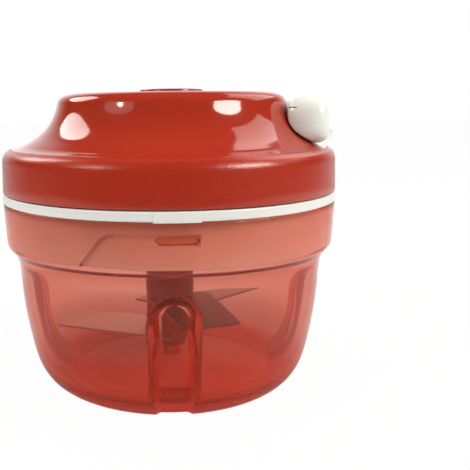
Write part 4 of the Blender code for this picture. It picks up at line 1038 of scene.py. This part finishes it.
def pull_cord():
    """The cord from the drum through the eyelet to the knot in the handle."""
    start = Vector((WOUND_RADIUS * cos(WOUND_START), WOUND_RADIUS * sin(WOUND_START), CORD_HEIGHT))
    bend = Vector((CORD_BEND, 0, CORD_HEIGHT))
    route = [start.lerp(bend, i / CORD_BEND_STEPS) for i in range(CORD_BEND_STEPS)]
    first, step, count = CORD_RUN
    route += [Vector((first + step * i, 0, CORD_HEIGHT)) for i in range(count)]
    piece = dressed(tube("pull_cord_braid", route, CORD_RADIUS), braid)
    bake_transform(piece)
    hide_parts("pull_cord")


pull_cord()


def knot():
    """The cord's end, tied in a knot that can't pass the handle's hole."""
    route = []
    for i in range(KNOT_STEPS + 1):
        turn = tau * i / KNOT_STEPS
        place = Vector((-sin(3 * turn), sin(turn) + 2 * sin(2 * turn), cos(turn) - 2 * cos(2 * turn)))
        route.append(place * KNOT_SIZE + Vector((KNOT_PLACE, 0, CORD_HEIGHT)))
    return dressed(tube("cord_end_knot", route, KNOT_CORD_RADIUS), braid)


stands_for(knot(), "handle", "cord_knot")

# CAD nodes that keep their shape
CARRIED = {
    "pivot_pin": steel,
    "seal_ring": silicone,
    "mechanism_plate": pale,
    "lid_screw_1": steel,
    "lid_screw_2": steel,
    "lid_screw_3": steel,
    "lower_bush": bronze,
    "cord_guide": ivory,
    "cord_reel": pale,
    "recoil_spring": steel,
    "drive_pawl_1": dark_steel,
    "drive_pawl_2": dark_steel,
    "ratchet_wheel": dark_steel,
    "drive_shaft": steel,
    "shaft_clip": dark_steel,
    "handle_plug": ivory,
}
for name, look in CARRIED.items():
    nodes[name].data.materials.clear()
    nodes[name].data.materials.append(look)

# Stage
bpy.ops.object.select_all(action="DESELECT")
bpy.ops.mesh.primitive_plane_add(size=1)
floor = named("studio_floor")
for point in floor.data.vertices:
    point.co = (FLOOR_SIZE[0] * point.co.x, FLOOR_SIZE[1] * point.co.y + FLOOR_MIDDLE, 0)
floor.data.materials.append(floor_finish())


def softbox(name, azimuth, elevation, across, tall, glow, shape="RECTANGLE"):
    """An area lamp. Its angles are in degrees, with azimuth 0 at the lens's side and 90 at the right."""
    azimuth, elevation = radians(azimuth), radians(elevation)
    way = Vector((sin(azimuth) * cos(elevation), -cos(azimuth) * cos(elevation), sin(elevation)))
    bpy.ops.object.light_add(type="AREA", location=way * LAMP_DISTANCE + LAMP_TARGET)
    lamp = named(name)
    lamp.data.shape = shape
    lamp.data.size = 2 * LAMP_DISTANCE * tan(radians(across / 2))
    lamp.data.size_y = 2 * LAMP_DISTANCE * tan(radians(tall / 2))
    lamp.data.energy = pi * glow * lamp.data.size * lamp.data.size_y
    lamp.rotation_euler = (-way).to_track_quat("-Z", "Y").to_euler()
    lamp.data.color = LAMP_COLOUR
    lamp.visible_transmission = False
    return lamp


for name, *settings in FILL_LAMPS:
    softbox(name, *settings).visible_glossy = False
for name, *settings in GLEAM_LAMPS:
    softbox(name, *settings).visible_diffuse = False

bpy.context.scene.world = studio_finish()
bpy.context.scene.view_settings.view_transform = "Standard"
